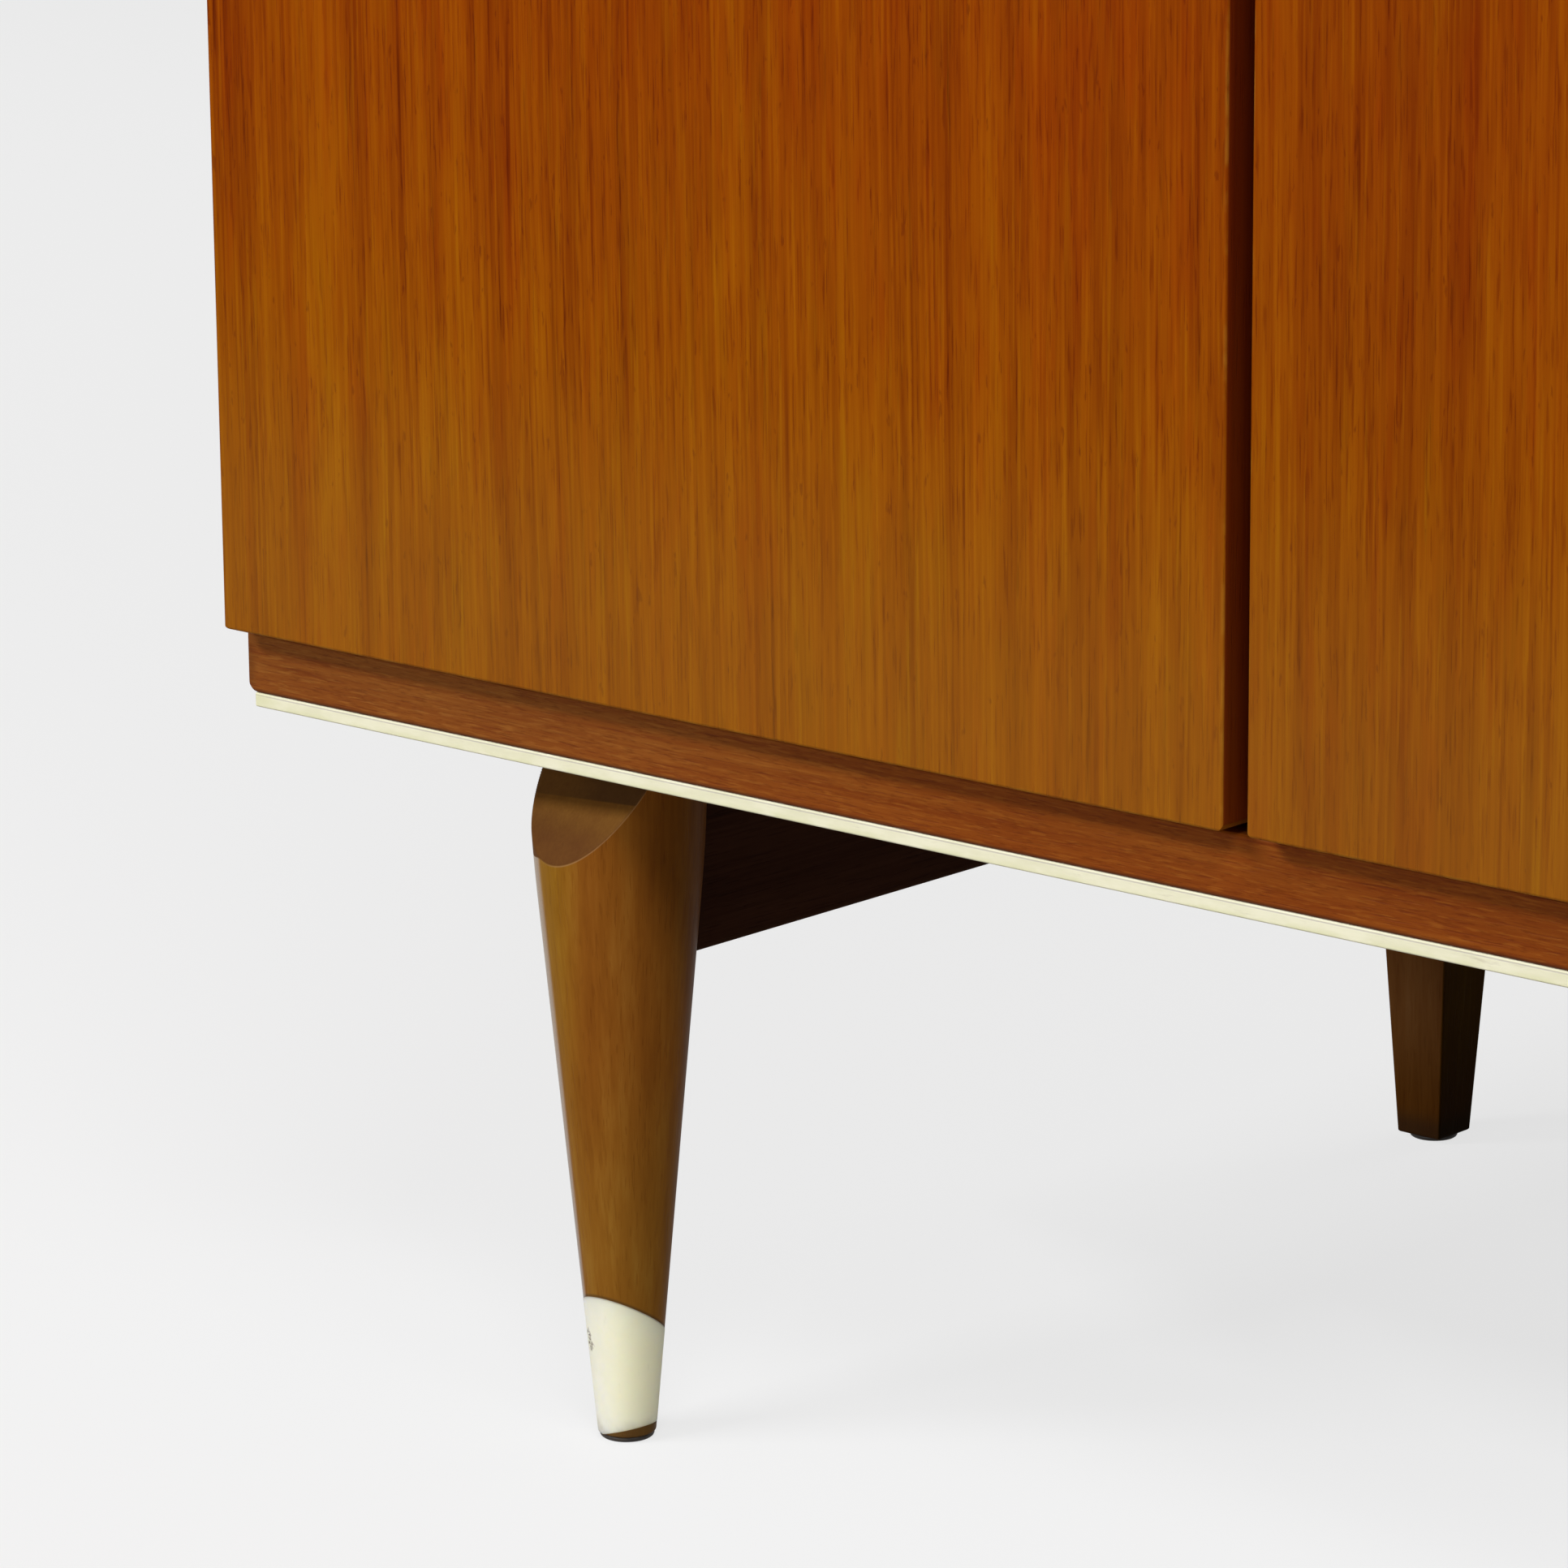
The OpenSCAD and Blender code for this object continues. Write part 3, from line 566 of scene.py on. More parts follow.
class Making(Tree):
    """A geometry tree with named inputs that makes a piece. Text as a value names a kind of input."""

    KINDS = {int: "NodeSocketInt", float: "NodeSocketFloat", tuple: "NodeSocketVector"}

    def __init__(self, name, inputs):
        super().__init__(bpy.data.node_groups.new(name, "GeometryNodeTree"))
        self.names = {}
        for key, value in inputs.items():
            kind = self.KINDS.get(type(value), value)
            made = self.tree.interface.new_socket(key, in_out="INPUT", socket_type=kind)
            self.names[key] = made.identifier
        self.tree.interface.new_socket("Piece", in_out="OUTPUT", socket_type="NodeSocketGeometry")
        self.values = {key: value for key, value in inputs.items() if type(value) in self.KINDS}
        self.given = self.tree.nodes.new("NodeGroupInput").outputs

    def num(self, name):
        return Num(self, self.given[name])

    def close(self, geometry):
        """Ends the tree: instances made real, and the material set."""
        real = self.node("GeometryNodeRealizeInstances", None, {0: geometry})
        done = self.node("GeometryNodeSetMaterial", None,
                         {0: real.outputs[0], "Material": self.given["Material"]})
        self.node("NodeGroupOutput", None, {0: done.outputs[0]})

    def make(self, name, body, values=None):
        """Runs the tree with these values and keeps its result as a plain mesh."""
        piece = put(name, bpy.data.meshes.new(name))
        maker = piece.modifiers.new("making", "NODES")
        maker.node_group = self.tree
        for key, value in {**self.values, **(values or {})}.items():
            maker[self.names[key]] = value
        ready = piece.evaluated_get(bpy.context.evaluated_depsgraph_get())
        mesh = bpy.data.meshes.new_from_object(ready)
        piece.modifiers.remove(maker)
        piece.data = mesh
        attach(piece, body)
        return piece


def screw_rows():
    """Screws in three nested rows, each turned at random about its own axis."""
    making = Making("screw_rows", {
        "Screw": "NodeSocketObject",
        "Material": "NodeSocketMaterial",
        "Start": (0, 0, 0),
        "Facing": (0, 0, 1),
        "First Count": 1,
        "First Step": (0, 0, 0),
        "Second Count": 1,
        "Second Step": (0, 0, 0),
        "Third Count": 1,
        "Third Step": (0, 0, 0),
        "Seed": 1,
    })

    def vector(operation, values):
        return making.node("ShaderNodeVectorMath", {"operation": operation}, values).outputs[0]

    first, second = making.num("First Count"), making.num("Second Count")
    line = making.node("GeometryNodeMeshLine", None, {"Count": first * second * making.num("Third Count")})
    index = Num(making, making.node("GeometryNodeInputIndex").outputs[0])
    place = making.given["Start"]
    for level, share in (
        ("First", first.join("MODULO", index, first)),
        ("Second", first.join("MODULO", first.join("FLOOR", index / first), second)),
        ("Third", first.join("FLOOR", index / (first * second))),
    ):
        step = vector("SCALE", {0: making.given[level + " Step"], "Scale": share})
        place = vector("ADD", {0: place, 1: step})
    set_out = making.node("GeometryNodeSetPosition", None, {"Geometry": line.outputs[0], "Position": place})
    # A row on the right-hand side faces the other way along x.
    spot = making.node("GeometryNodeInputPosition")
    here = making.node("ShaderNodeSeparateXYZ", None, {0: spot.outputs[0]})
    side = first.join("SIGN", Num(making, here.outputs[0]))
    mirror = making.node("ShaderNodeCombineXYZ", None, {0: side * -1, 1: 1.0, 2: 1.0})
    facing = vector("MULTIPLY", {0: making.given["Facing"], 1: mirror.outputs[0]})
    stand = making.node("FunctionNodeAlignRotationToVector", {"axis": "Z"}, {"Vector": facing})
    chance = making.node("FunctionNodeRandomValue", {"data_type": "FLOAT"},
                         {2: 0.0, 3: math.pi, "Seed": making.given["Seed"]})
    spin = making.node("FunctionNodeAxisAngleToRotation", None,
                       {"Axis": (0, 0, 1), "Angle": chance.outputs[1]})
    turned = making.node("FunctionNodeRotateRotation", {"rotation_space": "LOCAL"},
                         {0: stand.outputs[0], 1: spin.outputs[0]})
    source = making.node("GeometryNodeObjectInfo", None, {"Object": making.given["Screw"]})
    screws = making.node("GeometryNodeInstanceOnPoints", None, {
        "Points": set_out.outputs[0], "Instance": source.outputs["Geometry"], "Rotation": turned.outputs[0]})
    making.close(screws.outputs[0])
    return making


rows = screw_rows()
screw = put("screw_pattern", screw_mesh(brass))
OVER = 0.00005
LEAF_PITCH = 0.065 / 3
CLEAT_W = 0.018
SOCKET_FACE = 0.436
low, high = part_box("case_leaf_screws")
HINGE_PITCH = (high.z - low.z - 2 * HEAD_R - 2 * LEAF_PITCH) / 2
leaf_rows = {
    "First Count": 3, "First Step": (0, 0, LEAF_PITCH),
    "Second Count": 3, "Second Step": (0, 0, HINGE_PITCH),
}


def screws(name, body, node, slot, material, start, facing, seed, values):
    made = rows.make(name, body, {"Screw": screw, "Material": material, "Start": tuple(start),
                                  "Facing": facing, "Seed": seed, **values})
    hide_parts(node)


screws("case_leaf_screw_rows", "carcass", "case_leaf_screws", "brass", brass,
       (low.x + HEAD_R, low.y - OVER, low.z + HEAD_R), (0, -1, 0), 3,
       {**leaf_rows, "Third Count": 2, "Third Step": (2 * (high.x - HEAD_R), 0, 0)})
for side, name in ((-1, "left"), (1, "right")):
    screws(name + "_door_leaf_screw_rows", name + "_door", name + "_door_screws", "brass", brass,
           (side * (high.x - HEAD_R), DOOR_HI.y + OVER, low.z + HEAD_R), (0, 1, 0), 5 + side, leaf_rows)
    plate_lo, plate_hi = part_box(name + "_strike")
    x, _, z = (plate_lo + plate_hi) / 2
    screws(name + "_strike_screw", name + "_door", name + "_door_screws", "brass", brass,
           (x, plate_hi.y + OVER, z), (0, 1, 0), 9, {})
low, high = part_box("catch_screws")
screws("catch_screw_rows", "carcass", "catch_screws", "brass", brass,
       (low.x + HEAD_R, (low.y + high.y) / 2, low.z - OVER), (0, 0, -1), 11,
       {"First Count": 2, "First Step": (CATCH_W * 2 / 3, 0, 0),
        "Second Count": 2, "Second Step": (CATCH_HI.x * 2 - CATCH_W, 0, 0)})
low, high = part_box("cleat_screws")
cleat_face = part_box("shelf_cleats")[1].x - CLEAT_W
screws("cleat_screw_rows", "carcass", "cleat_screws", "brass", brass,
       (-cleat_face + OVER, low.y + HEAD_R, (low.z + high.z) / 2), (1, 0, 0), 13,
       {"First Count": 3, "First Step": (0, (high.y - low.y - 2 * HEAD_R) / 2, 0),
        "Second Count": 2, "Second Step": (2 * cleat_face - 2 * OVER, 0, 0)})
low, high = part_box("socket_screws")
screws("socket_screw_rows", "carcass", "socket_screws", "steel", steel,
       (-SOCKET_FACE + OVER, (low.y + high.y) / 2, low.z + HEAD_R), (1, 0, 0), 17,
       {"First Count": 2, "First Step": (0, 0, high.z - low.z - 2 * HEAD_R),
        "Second Count": 2, "Second Step": (2 * SOCKET_FACE - 2 * OVER, 0, 0)})
low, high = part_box("frame_screws")
screws("frame_screw_rows", "carcass", "frame_screws", "steel", steel,
       (low.x + HEAD_R, low.y + HEAD_R, low.z - OVER), (0, 0, -1), 19,
       {"First Count": 3, "First Step": (0, (high.y - low.y - 2 * HEAD_R) / 2, 0),
        "Second Count": 2, "Second Step": (high.x * 2 - HEAD_R * 2, 0, 0)})
bpy.data.objects.remove(screw)


# The front legs
# Turned from solid teak: a long straight taper that swells into a shoulder, with a flat cut
# sloping inwards at the front of its top. The flat shows duller end grain.
FRONT_LEG_X = 0.312
FRONT_LEG_Y = -0.236
UNDERSIDE = 0.2578
FOOT_Z = 0.002
FOOT_R = 0.01015
SHOULDER_Z = 0.1998
SHOULDER_DROP = UNDERSIDE - SHOULDER_Z
LEG_TAPER = 0.01855 / SHOULDER_Z
FLAT_TILT = math.radians(35)
FLAT_TURN = math.radians(10)
FLAT_TOP = UNDERSIDE + 0.0006
FLAT_FOOT = 0.2045
SOCK_TOP = 0.045
SOCK_SLOPE = (0.0857, -0.6717)
REAR_FOOT_W = 0.0208
REAR_TOP_W = 0.0502
REAR_TAPER = (REAR_TOP_W - REAR_FOOT_W) / 2 / UNDERSIDE
LOWER_RINGS = 0.4
SEAM_REACH = 0.000005
LEG_WOOD = [(0.100, 0.031, 0.0024), (0.168, 0.061, 0.0055), (0.219, 0.088, 0.0092), (0.275, 0.135, 0.0190)]


def leg_finish(name, shine_level):
    finish = Finish(name, {"Specular IOR Level": shine_level, "Coat Roughness": 0.12, "Coat IOR": 2.6})
    colour, height = straight_grain(finish, "z", LEG_WOOD, 61.0, 0.6)
    across = FRONT_LEG_X - abs(finish.x)
    deep = finish.y - FRONT_LEG_Y
    # The wood is redder towards the top, and lighter and yellower at the outer side, partly its tone and
    # partly a painted highlight on the side that faces the light.
    outer = (across + deep).rise(-0.016, -0.037)
    front = finish.y.rise(0.05, 0.0)
    colour = finish.tint(finish.z.rise(0.07, 0.16) * (1 - outer), colour, (0.97, 0.80, 0.75))
    colour = finish.tint(outer * front, colour, (1.12, 1.27, 0.80))
    # How far a point lies outside the flat.
    turn, tilt = FLAT_TURN, FLAT_TILT
    flat = (across * (-math.sin(turn) * math.cos(tilt)) + deep * (-math.cos(turn) * math.cos(tilt))
            + (finish.z - FLAT_TOP) * math.sin(tilt))
    # The dull end grain runs over the flat's outer edge, and a painted highlight lies along its inner edge.
    flat = flat + across.rise(-0.010, -0.028) * 0.0063
    near_flat = finish.z.rise(0.19, 0.20)
    on_flat = flat.rise(-0.0005, -0.0001) * near_flat
    rings = finish.noise((1000, 1000, 300), 2.0, 0.6, 4.0)
    end_grain = finish.mix(rings, (0.132, 0.052, 0.0085), (0.198, 0.086, 0.0150))
    patch = finish.noise((120, 120, 90), 3.0, 0.6, 14.0).rise(0.42, 0.66)
    end_grain = finish.mix(patch * 0.25, end_grain, (0.110, 0.038, 0.007))
    # Painted shade: the flat is darker low down, and a painted shadow lies where the case keeps the light off
    # it.
    end_grain = finish.mix(finish.z.rise(0.234, 0.222) * 0.55, end_grain, (0.050, 0.013, 0.005))
    painted_case_shadow = (finish.z - across * 0.092).rise(0.2364, 0.2370) * (across.rise(-0.016, 0.010) * 0.26 + 0.36)
    end_grain = finish.mix(painted_case_shadow, end_grain, (0.030, 0.014, 0.008))
    colour = finish.mix(on_flat, colour, end_grain)
    # The oiled surface shines where it turns away at the outer side.
    turned_away = Num(finish, finish.node("ShaderNodeLayerWeight", None, {"Blend": 0.5}).outputs["Facing"])
    shine = turned_away.rise(0.63, 0.73) * across.rise(0.0, -0.010) * (1 - on_flat) * front
    finish.feed(finish.surface.inputs["Coat Weight"], shine)
    # A painted highlight along the flat's inner edge, left out high up where the case shades it.
    arris_highlight = (flat.rise(-0.0007, -0.0004) - on_flat).most(0) * across.rise(-0.016, 0.002)
    arris_highlight = arris_highlight * near_flat * finish.z.rise(0.246, 0.240)
    colour = finish.mix(arris_highlight * 0.5, colour, (0.34, 0.20, 0.09))
    # It is darker along the sock's upper edge and around the foot.
    slope_x, slope_y = SOCK_SLOPE
    above = finish.z - SOCK_TOP - across * slope_x - deep * slope_y
    colour = finish.mix((1 - abs(above - 0.0003).rise(0.0001, 0.0010)) * 0.65, colour, (0.055, 0.033, 0.013))
    colour = finish.mix(finish.z.rise(0.015, 0.005) * 0.65, colour, (0.060, 0.038, 0.016))
    # Painted shade: the rear legs are darker, most of all at the foot and on their inner faces, standing for
    # the shade under the case.
    darker = finish.vector("MULTIPLY", colour, (0.68, 0.66, 1.65))
    darkest = finish.vector("MULTIPLY", colour, (0.42, 0.36, 0.48))
    darker = finish.mix(finish.z.rise(0.065, 0.01), darker, darkest)
    inner = across - finish.z * REAR_TAPER - REAR_FOOT_W / 2
    darker = finish.tint(inner.rise(-0.0009, -0.0002), darker, (0.46, 0.50, 0.10))
    colour = finish.mix(front, darker, colour)
    sheen = finish.noise((20, 20, 12), 3.0, 0.6, 6.0) * 0.14 + 0.32
    return finish.wear(colour, sheen + on_flat * 0.2, height * (1 - on_flat * 0.7), 0.00005)


def turned_grid(making):
    """A sheet of points whose x runs round a leg and whose y runs up it."""
    sheet = making.node("GeometryNodeMeshGrid", None, {
        "Size X": 1.0, "Size Y": 1.0,
        "Vertices X": making.given["Columns"], "Vertices Y": making.given["Rings"]})
    spot = making.node("GeometryNodeInputPosition")
    here = making.node("ShaderNodeSeparateXYZ", None, {0: spot.outputs[0]})
    return sheet.outputs["Mesh"], Num(making, here.outputs[0]) * 2, Num(making, here.outputs[1]) + 0.5


def leg_radius(making, z):
    """A straight taper that eases out above the shoulder."""
    over = (z - making.num("Shoulder")).most(0)
    eased = over - over * over / (making.num("Drop") * 2)
    return making.num("Foot Radius") + making.num("Taper") * (z.least(making.num("Shoulder")) + eased)


def close_turned(making, sheet, angle, radius, z):
    """Wraps the sheet round the leg's axis and ends the tree."""
    x = making.num("X") + radius * angle.join("COSINE", angle)
    y = making.num("Y") + radius * angle.join("SINE", angle)
    place = making.node("ShaderNodeCombineXYZ", None, {0: x, 1: y, 2: z})
    wrapped = making.node("GeometryNodeSetPosition", None, {"Geometry": sheet, "Position": place.outputs[0]})
    sewn = making.node("GeometryNodeMergeByDistance", None,
                       {"Geometry": wrapped.outputs[0], "Distance": SEAM_REACH})
    smooth = making.node("GeometryNodeSetShadeSmooth", None, {0: sewn.outputs[0], "Shade Smooth": True})
    making.close(smooth.outputs[0])
    return making


def turned_leg():
    making = Making("turned_leg", {
        "Material": "NodeSocketMaterial",
        "Columns": 301,
        "Rings": 200,
        "X": 0.0,
        "Y": FRONT_LEG_Y,
        "Foot": FOOT_Z,
        "Top": UNDERSIDE,
        "Foot Radius": FOOT_R,
        "Foot Rounding": 0.0008,
        "Taper": LEG_TAPER,
        "Shoulder": SHOULDER_Z,
        "Drop": SHOULDER_DROP,
        "Flat Facing": 0.0,
        "Flat Tilt": FLAT_TILT,
        "Flat Top": FLAT_TOP,
        "Flat Foot": FLAT_FOOT,
        "Arris": 0.0005,
    })
    sheet, round_about, upward = turned_grid(making)
    last = making.num("Rings") - 1
    # The first and last rings close the ends. Below the flat the rings crowd to the foot.
    open_ring = (upward * last).least((1 - upward) * last).least(1)
    lower = (upward / LOWER_RINGS).least(1)
    upper = ((upward - LOWER_RINGS) / (1 - LOWER_RINGS)).most(0)
    foot, flat_foot = making.num("Foot"), making.num("Flat Foot")
    z = foot + (flat_foot - foot) * lower * lower + (making.num("Top") - flat_foot) * upper
    bend = round_about * 0.5 + round_about * round_about * round_about * 0.5
    angle = making.num("Flat Facing") + bend * math.pi
    near = 1 - ((z - foot) / making.num("Foot Rounding")).least(1)
    worn = making.num("Foot Rounding") * (1 - (1 - near * near).join("SQRT", 1 - near * near))
    whole = leg_radius(making, z) - worn
    tilt = making.num("Flat Tilt")
    slant = tilt.join("COSINE", tilt) * bend.join("COSINE", bend * math.pi)
    to_flat = tilt.join("SINE", tilt) * (making.num("Flat Top") - z) / slant.most(0.006)
    cut = making.node("ShaderNodeMath", {"operation": "SMOOTH_MIN"},
                      {0: whole, 1: to_flat, 2: making.num("Arris")})
    return close_turned(making, sheet, angle, Num(making, cut.outputs[0]) * open_ring, z)


leg_teak = leg_finish("leg_teak", 0.04)
leg_maker = turned_leg()
for side, name in ((-1, "left"), (1, "right")):
    facing = -math.pi / 2 + side * FLAT_TURN
    leg = leg_maker.make(f"front_{name}_turned_leg", "carcass",
                         {"Material": leg_teak, "X": side * FRONT_LEG_X, "Flat Facing": facing})
    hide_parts(f"front_{name}_leg")


# The socks
# A cream-white sleeve over each front leg's foot, cut aslant so that it stands higher at the
# front. It is scuffed, darker along its upper edge and dirty near the floor.
SOCK_FOOT = 0.0028
SOCK_FOOT_SLOPE = 0.298
SOCK_SUNK = 0.0001
SOCK_CHIPS = [(-0.0064, 0.0396, 0.0026), (-0.0057, 0.0358, 0.0036)]


def sock_finish():
    finish = Finish("sock_white", {"Specular IOR Level": 0.3, "Subsurface Weight": 0.8,
                                   "Subsurface Radius": (0.016, 0.014, 0.009), "Subsurface Scale": 1.0})
    across = FRONT_LEG_X - abs(finish.x)
    deep = finish.y - FRONT_LEG_Y
    mottle = finish.noise((90, 90, 60), 3.0, 0.6, 1.0)
    colour = finish.mix(mottle.rise(0.35, 0.7), (0.84, 0.82, 0.70), (0.80, 0.785, 0.65))
    # The inner side is painted lighter and yellower, painted light on its shaded side, and the paint is
    # chipped in two small spots in front.
    colour = finish.mix(across.rise(-0.002, 0.011) * 0.65, colour, (0.95, 0.92, 0.64))
    scuff = finish.noise((260, 260, 60), 4.0, 0.7, 5.0).rise(0.60, 0.72)
    chips = finish.noise((900, 900, 700), 2.0, 0.6, 11.0).rise(0.43, 0.53)
    for spot_across, spot_z, size in SOCK_CHIPS:
        away = abs(across - spot_across) + abs(finish.z - spot_z) * 0.8 + (deep + 0.006).most(0) * 4
        colour = finish.mix(away.rise(size, size * 0.4) * chips * 0.9, colour, (0.085, 0.050, 0.025))
    colour = finish.mix(scuff * 0.12, colour, (0.30, 0.24, 0.15))
    slope_x, slope_y = SOCK_SLOPE
    below = SOCK_TOP + across * slope_x + deep * slope_y - finish.z
    colour = finish.mix(below.rise(0.0009, 0.0001) * 0.55, colour, (0.20, 0.14, 0.08))
    floor_dirt = finish.z.rise(0.010, 0.003) * finish.noise((120, 120, 120), 3.0).rise(0.35, 0.65)
    colour = finish.mix(floor_dirt * 0.45, colour, (0.30, 0.23, 0.14))
    return finish.wear(colour, mottle * 0.2 + 0.38, mottle - scuff * 0.3, 0.00008)


def sock_sleeve():
    making = Making("sock_sleeve", {
        "Material": "NodeSocketMaterial",
        "Columns": 193,
        "Rings": 64,
        "X": 0.0,
        "Y": FRONT_LEG_Y,
        "Lowest": FOOT_Z + SOCK_SUNK,
        "Foot Radius": FOOT_R,
        "Taper": LEG_TAPER,
        "Shoulder": SHOULDER_Z,
        "Drop": SHOULDER_DROP,
        "Top": SOCK_TOP,
        "Top Slope X": 0.0,
        "Top Slope Y": SOCK_SLOPE[1],
        "Bottom": SOCK_FOOT,
        "Bottom Slope X": 0.0,
        "Proud": 0.0001,
        "Rim": 0.0005,
    })
    sheet, round_about, upward = turned_grid(making)
    angle = round_about * math.pi
    ahead, aside = angle.join("SINE", angle), angle.join("COSINE", angle)
    foot_radius, taper = making.num("Foot Radius"), making.num("Taper")

    def rim_height(middle, slope):
        return (middle + slope * foot_radius) / (1 - slope * taper)

    top = rim_height(making.num("Top"), aside * making.num("Top Slope X") + ahead * making.num("Top Slope Y"))
    bottom = rim_height(making.num("Bottom"), aside * making.num("Bottom Slope X")).most(making.num("Lowest"))
    share = 0.5 - upward.join("COSINE", upward * math.pi) * 0.5
    z = bottom + (top - bottom) * share
    inward = 1 - ((z - bottom).least(top - z) / making.num("Rim")).least(1)
    swell = inward.join("SQRT", (1 - inward * inward).most(0))
    radius = leg_radius(making, z) - SOCK_SUNK + (making.num("Proud") + SOCK_SUNK) * swell
    return close_turned(making, sheet, angle, radius, z)


sock_white = sock_finish()
sock_maker = sock_sleeve()
for side, name in ((-1, "left"), (1, "right")):
    sock = sock_maker.make(name + "_white_sock", "carcass", {
        "Material": sock_white, "X": side * FRONT_LEG_X,
        "Top Slope X": -side * SOCK_SLOPE[0], "Bottom Slope X": -side * SOCK_FOOT_SLOPE})
    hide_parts(name + "_sock")


# The rear legs
# Square and tapered on all four faces, of the same teak, with the corners just broken by a
# plane.
REAR_LO, REAR_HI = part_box("rear_left_leg")
REAR_Y = (REAR_LO.y + REAR_HI.y) / 2
REAR_CORNER = 0.0007
CORNER_STEPS = 5
CORNER_GUARD = 0.0007


def rounded_square(width, corner):
    """Points of a square with round corners, and a point on each side next to each corner."""
    points = []
    for quarter in range(4):
        turn = quarter * math.pi / 2
        centre = width / 2 - corner
        corner_points = [(width / 2, centre - CORNER_GUARD)]
        for i in range(CORNER_STEPS + 1):
            angle = math.pi / 2 * i / CORNER_STEPS
            corner_points.append((centre + corner * math.cos(angle), centre + corner * math.sin(angle)))
        corner_points.append((centre - CORNER_GUARD, width / 2))
        for x, y in corner_points:
            points.append((x * math.cos(turn) - y * math.sin(turn), x * math.sin(turn) + y * math.cos(turn)))
    return points


def bands(levels, count):
    """Four-sided faces between rings of so many points that lie one above another."""
    faces = []
    for low in range(0, (levels - 1) * count, count):
        for i in range(count):
            j = (i + 1) % count
            faces.append((low + i, low + j, low + count + j, low + count + i))
    return faces


def square_leg(name, x, material):
    widths = [(FOOT_Z, -0.0012), (FOOT_Z + 0.0002, -0.0006), (FOOT_Z + 0.0006, 0), (FOOT_Z + 0.0016, 0),
              (UNDERSIDE, 0)]
    points = []
    for z, less in widths:
        width = REAR_FOOT_W + 2 * REAR_TAPER * z + less
        for px, py in rounded_square(width, REAR_CORNER):
            points.append((x + px, REAR_Y + py, z))
    count = len(points) // len(widths)
    faces = bands(len(widths), count)
    faces.append(tuple(range(count))[::-1])
    faces.append(tuple(range(len(points) - count, len(points))))
    mesh = plain_mesh(name, points, faces, material)
    mesh.polygons.foreach_set("use_smooth", [len(face) == 4 for face in faces])
    made = put(name, mesh)
    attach(made, "carcass")
    return made


# The rear legs' teak carries the painted shade made in leg_finish.
dull_teak = leg_finish("rear_leg_teak", 0.01)
for side, name in ((-1, "left"), (1, "right")):
    leg = square_leg(f"rear_{name}_square_leg", side * FRONT_LEG_X, dull_teak)
    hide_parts(f"rear_{name}_leg")


# The glides
# A thin dark plastic disc nailed under each leg, slightly domed and rounded at its rim.
GLIDE_R = 0.00975
GLIDE_COLUMNS = 48


def glide_finish():
    finish = Finish("dark_plastic", {"Specular IOR Level": 0.4})
    grain = finish.noise((900, 900, 900), 2.0, 0.5, 3.0)
    dust = finish.noise((200, 200, 200), 3.0, 0.6, 7.0).rise(0.45, 0.7)
    colour = finish.mix(grain, (0.012, 0.009, 0.008), (0.028, 0.020, 0.016))
    colour = finish.mix(dust * 0.25, colour, (0.10, 0.075, 0.05))
    return finish.wear(colour, dust * 0.2 + 0.4, grain, 0.00004)


glide_plastic = glide_finish()
profile = [(0.0, 0.0004), (0.0016, 0.0004), (0.0022, 0.0), (0.0080, 0.0), (0.0090, 0.00012),
           (0.0095, 0.0005), (GLIDE_R, 0.0010), (GLIDE_R, 0.0016), (0.0095, FOOT_Z), (0.0, FOOT_Z)]
for side, name in ((-1, "left"), (1, "right")):
    for end, y in (("front", FRONT_LEG_Y), ("rear", REAR_Y)):
        points = []
        for r, z in profile:
            for i in range(GLIDE_COLUMNS):
                angle = math.tau * i / GLIDE_COLUMNS
                points.append((side * FRONT_LEG_X + r * math.cos(angle), y + r * math.sin(angle), z))
        mesh = plain_mesh("glide", points, bands(len(profile), GLIDE_COLUMNS), glide_plastic)
        mesh.validate()
        mesh.polygons.foreach_set("use_smooth", [True] * len(mesh.polygons))
        glide = put(f"{end}_{name}_glide", mesh)
        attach(glide, "carcass")
        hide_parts("leg_glides")


# The stretchers and their cleats
# A board on edge between the front and rear leg of each side, stained nearly black, and a
# cleat that holds it to the bottom board with three screws.
STRETCHER_ROUND = 0.0012
STRETCHER_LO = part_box("left_stretcher")[0]


def stain_finish():
    finish = Finish("dark_stained_wood", {"Specular IOR Level": 0.01})
    ramp = [(0.020, 0.0070, 0.0036), (0.044, 0.0155, 0.0080), (0.074, 0.028, 0.015)]
    colour, height = straight_grain(finish, "y", ramp, 71.0, 0.8)
    edge = finish.z.rise(STRETCHER_LO.z + 0.0030, STRETCHER_LO.z + 0.0003)
    colour = finish.mix(edge * 0.4, colour, (0.080, 0.040, 0.022))
    return finish.wear(colour, height * 0.1 + 0.46, height, 0.00006)


dark_stain = stain_finish()
for side, name in ((-1, "left"), (1, "right")):
    low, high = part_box(name + "_stretcher")
    board = block(name + "_dark_stretcher", low, high, STRETCHER_ROUND, dark_stain, "carcass")
    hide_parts(name + "_stretcher")
dress(dark_stain, "frame_cleats")


# The floor and the light
# A plain pale floor that keeps the wardrobe's shadow. A long, thin lamp stands high at the
# front left and a wide, softer one high at the right. Weak ones light the front, the left,
# the feet and the back, and a dim sky fills the rest.
FLOOR_SIZE = 60.0
FLOOR_BOUNCE = (0.34, 0.33, 0.31)
FLOOR_SEEN = (0.70, 0.70, 0.70)
MIRROR_SHARE = 0.45
BACKGROUND = (0.96, 0.96, 0.96)
SKY_SEEN = (0.84, 0.84, 0.84)
SKY_LEVEL = 0.03
LAMP_AWAY = 6.5
LAMP_SLOPE = 0.90
LAMP_TURN = math.radians(30)
KEY_LEVEL = 0.70
FRONT_LEVEL = 0.29
RIGHT_LEVEL = 0.39
LEFT_LEVEL = 0.08
LOW_LEVEL = 0.18
BACK_LEVEL = 0.22

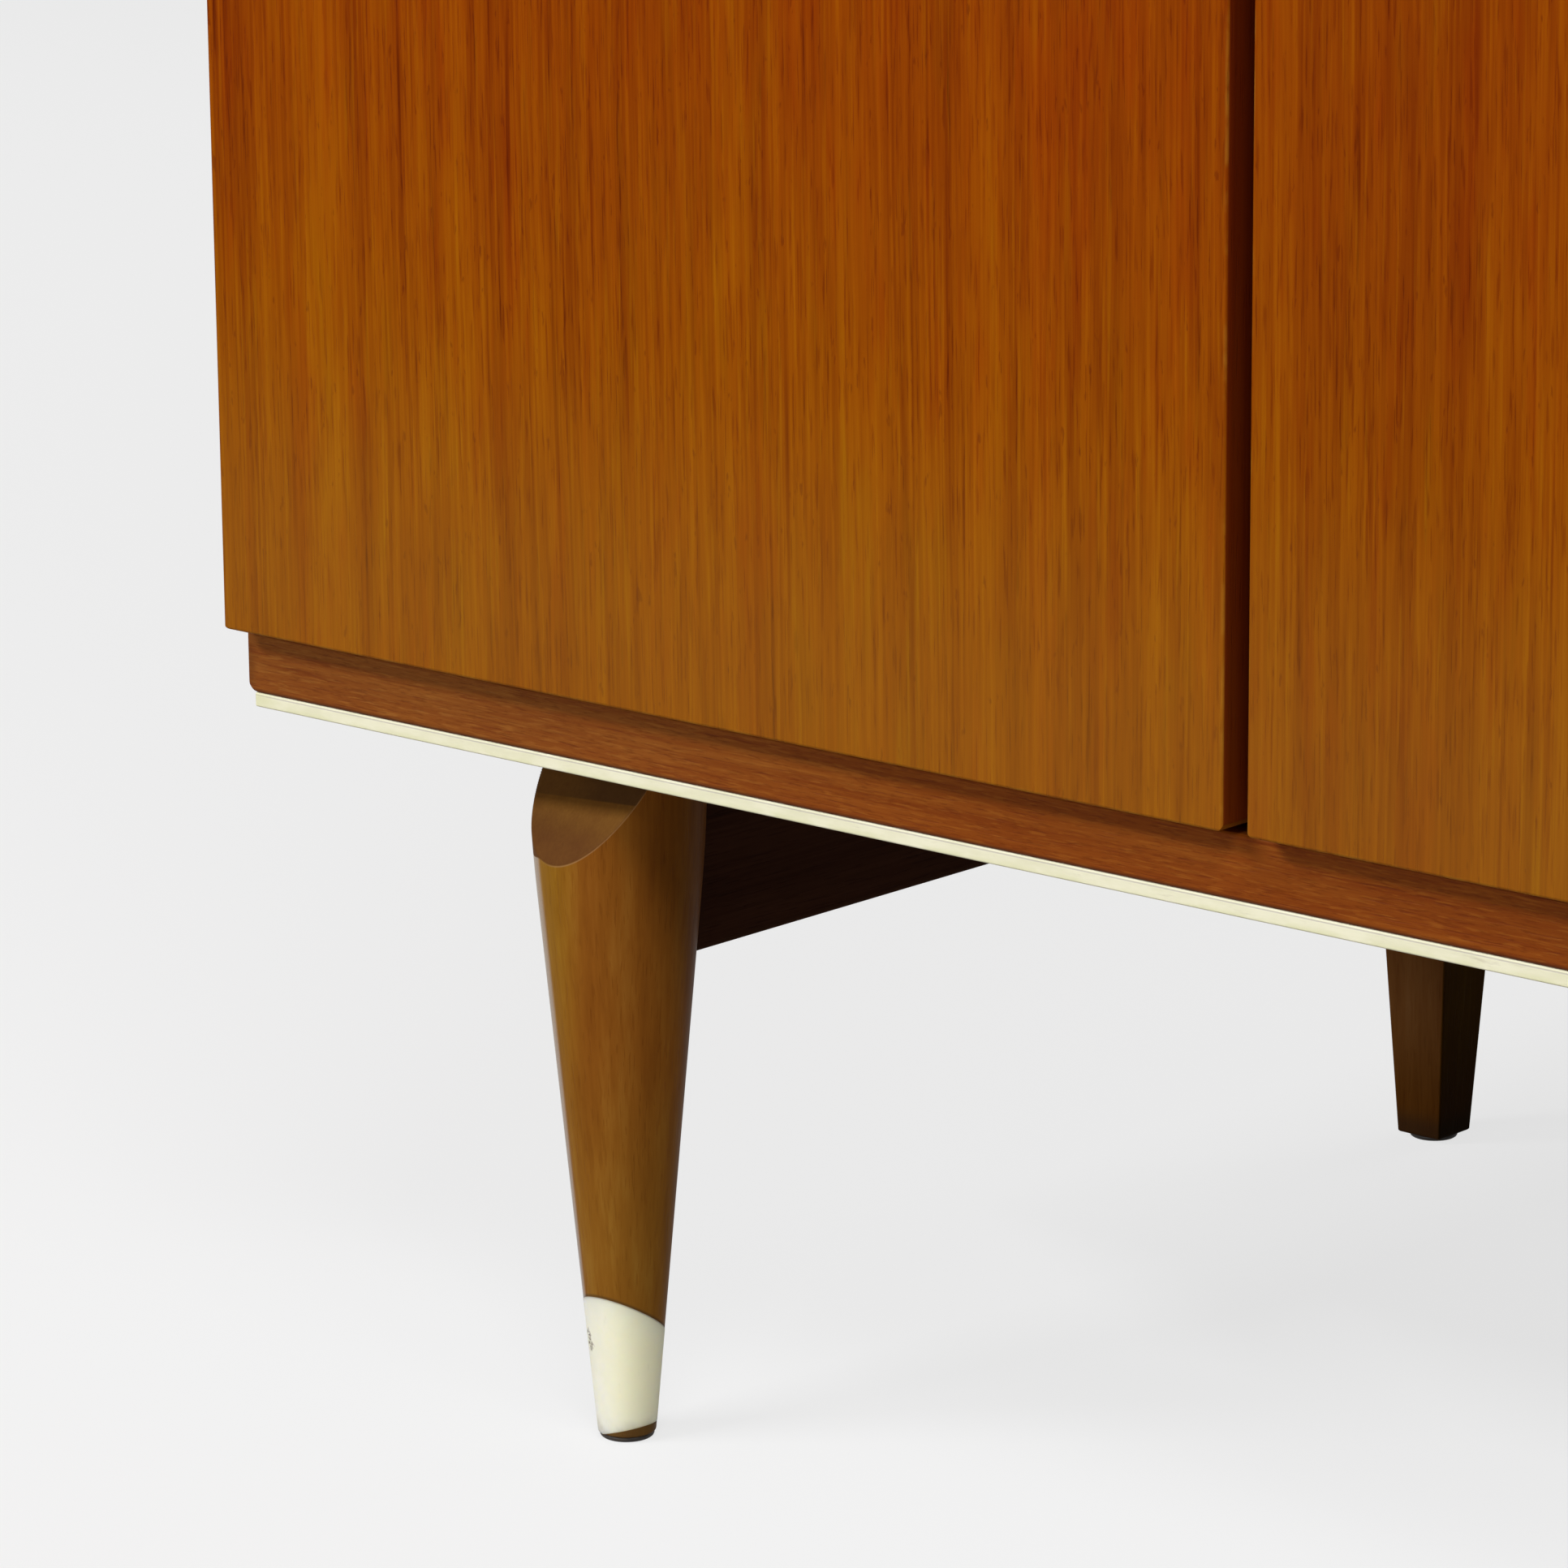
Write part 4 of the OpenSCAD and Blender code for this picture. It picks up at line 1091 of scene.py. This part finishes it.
bpy.ops.mesh.primitive_plane_add(size=FLOOR_SIZE)
floor = bpy.context.object
floor.name = "floor"
paper = bpy.data.materials.new("floor_paper")
paper.use_nodes = True
floor.data.materials.append(paper)
sky = bpy.data.worlds.new("sky")
sky.use_nodes = True
bpy.context.scene.world = sky


def seen_part(tree):
    """1 where the camera, a mirror or glass looks at the surface, and 0 where it lights others."""
    path = tree.node("ShaderNodeLightPath")
    seen = Num(tree, path.outputs["Is Camera Ray"]).most(Num(tree, path.outputs["Is Transmission Ray"]))
    return seen.most(Num(tree, path.outputs["Is Glossy Ray"]) * MIRROR_SHARE)


ground = Tree(paper.node_tree)
ground.tree.nodes.clear()
lit = ground.node("ShaderNodeBsdfDiffuse", None, {"Color": FLOOR_BOUNCE})
shaded = ground.node("ShaderNodeBsdfDiffuse", None, {"Color": FLOOR_SEEN})
glow = ground.node("ShaderNodeEmission", None, {"Color": BACKGROUND, "Strength": 1.0})
seen = ground.node("ShaderNodeMixShader", None, {0: 0.75, 1: shaded.outputs[0], 2: glow.outputs[0]})
blend = ground.node("ShaderNodeMixShader", None,
                    {0: seen_part(ground), 1: lit.outputs[0], 2: seen.outputs[0]})
ground.node("ShaderNodeOutputMaterial", None, {"Surface": blend.outputs[0]})
air = Tree(sky.node_tree)
air.tree.nodes.clear()
dim = air.node("ShaderNodeBackground", None, {"Color": (0.95, 0.97, 1.0), "Strength": SKY_LEVEL})
pale = air.node("ShaderNodeBackground", None, {"Color": SKY_SEEN, "Strength": 1.0})
blend = air.node("ShaderNodeMixShader", None, {0: seen_part(air), 1: dim.outputs[0], 2: pale.outputs[0]})
air.node("ShaderNodeOutputWorld", None, {"Surface": blend.outputs[0]})


def lamp(name, place, aim, width, height, level):
    """A rectangular lamp that lights a white surface at its aim, facing it, to the level."""
    light = bpy.data.lights.new(name, "AREA")
    light.shape = "RECTANGLE"
    light.size = width
    light.size_y = height
    beam = Vector(aim) - Vector(place)
    light.energy = level * (math.pi * beam.length) ** 2
    made = put(name, light)
    made.location = place
    made.rotation_euler = beam.to_track_quat("-Z", "Y").to_euler()


door_aim = Vector((0.0, DOOR_LO.y, 0.3))
leg_aim = Vector((-0.3, -0.24, 0.15))
key_place = door_aim + LAMP_AWAY * Vector((-math.tan(LAMP_TURN), -1.0, LAMP_SLOPE))
lamp("key_lamp", key_place, door_aim, 4.6, 0.15, KEY_LEVEL)
lamp("front_lamp", (-0.5, -7.0, 1.9), (0.0, 0.0, 0.4), 5.0, 2.0, FRONT_LEVEL)
lamp("right_lamp", (2.5, -3.1, 5.3), leg_aim, 2.2, 1.6, RIGHT_LEVEL)
lamp("left_lamp", (-4.5, 0.6, 0.9), leg_aim, 3.0, 2.4, LEFT_LEVEL)
lamp("low_lamp", (5.0, -1.2, 2.6), (-0.3, -0.24, 0.05), 1.6, 0.9, LOW_LEVEL)
lamp("back_lamp", (0.8, 7.0, 3.0), (0.0, 0.29, 0.9), 4.0, 2.0, BACK_LEVEL)

bpy.context.scene.view_settings.view_transform = "Standard"
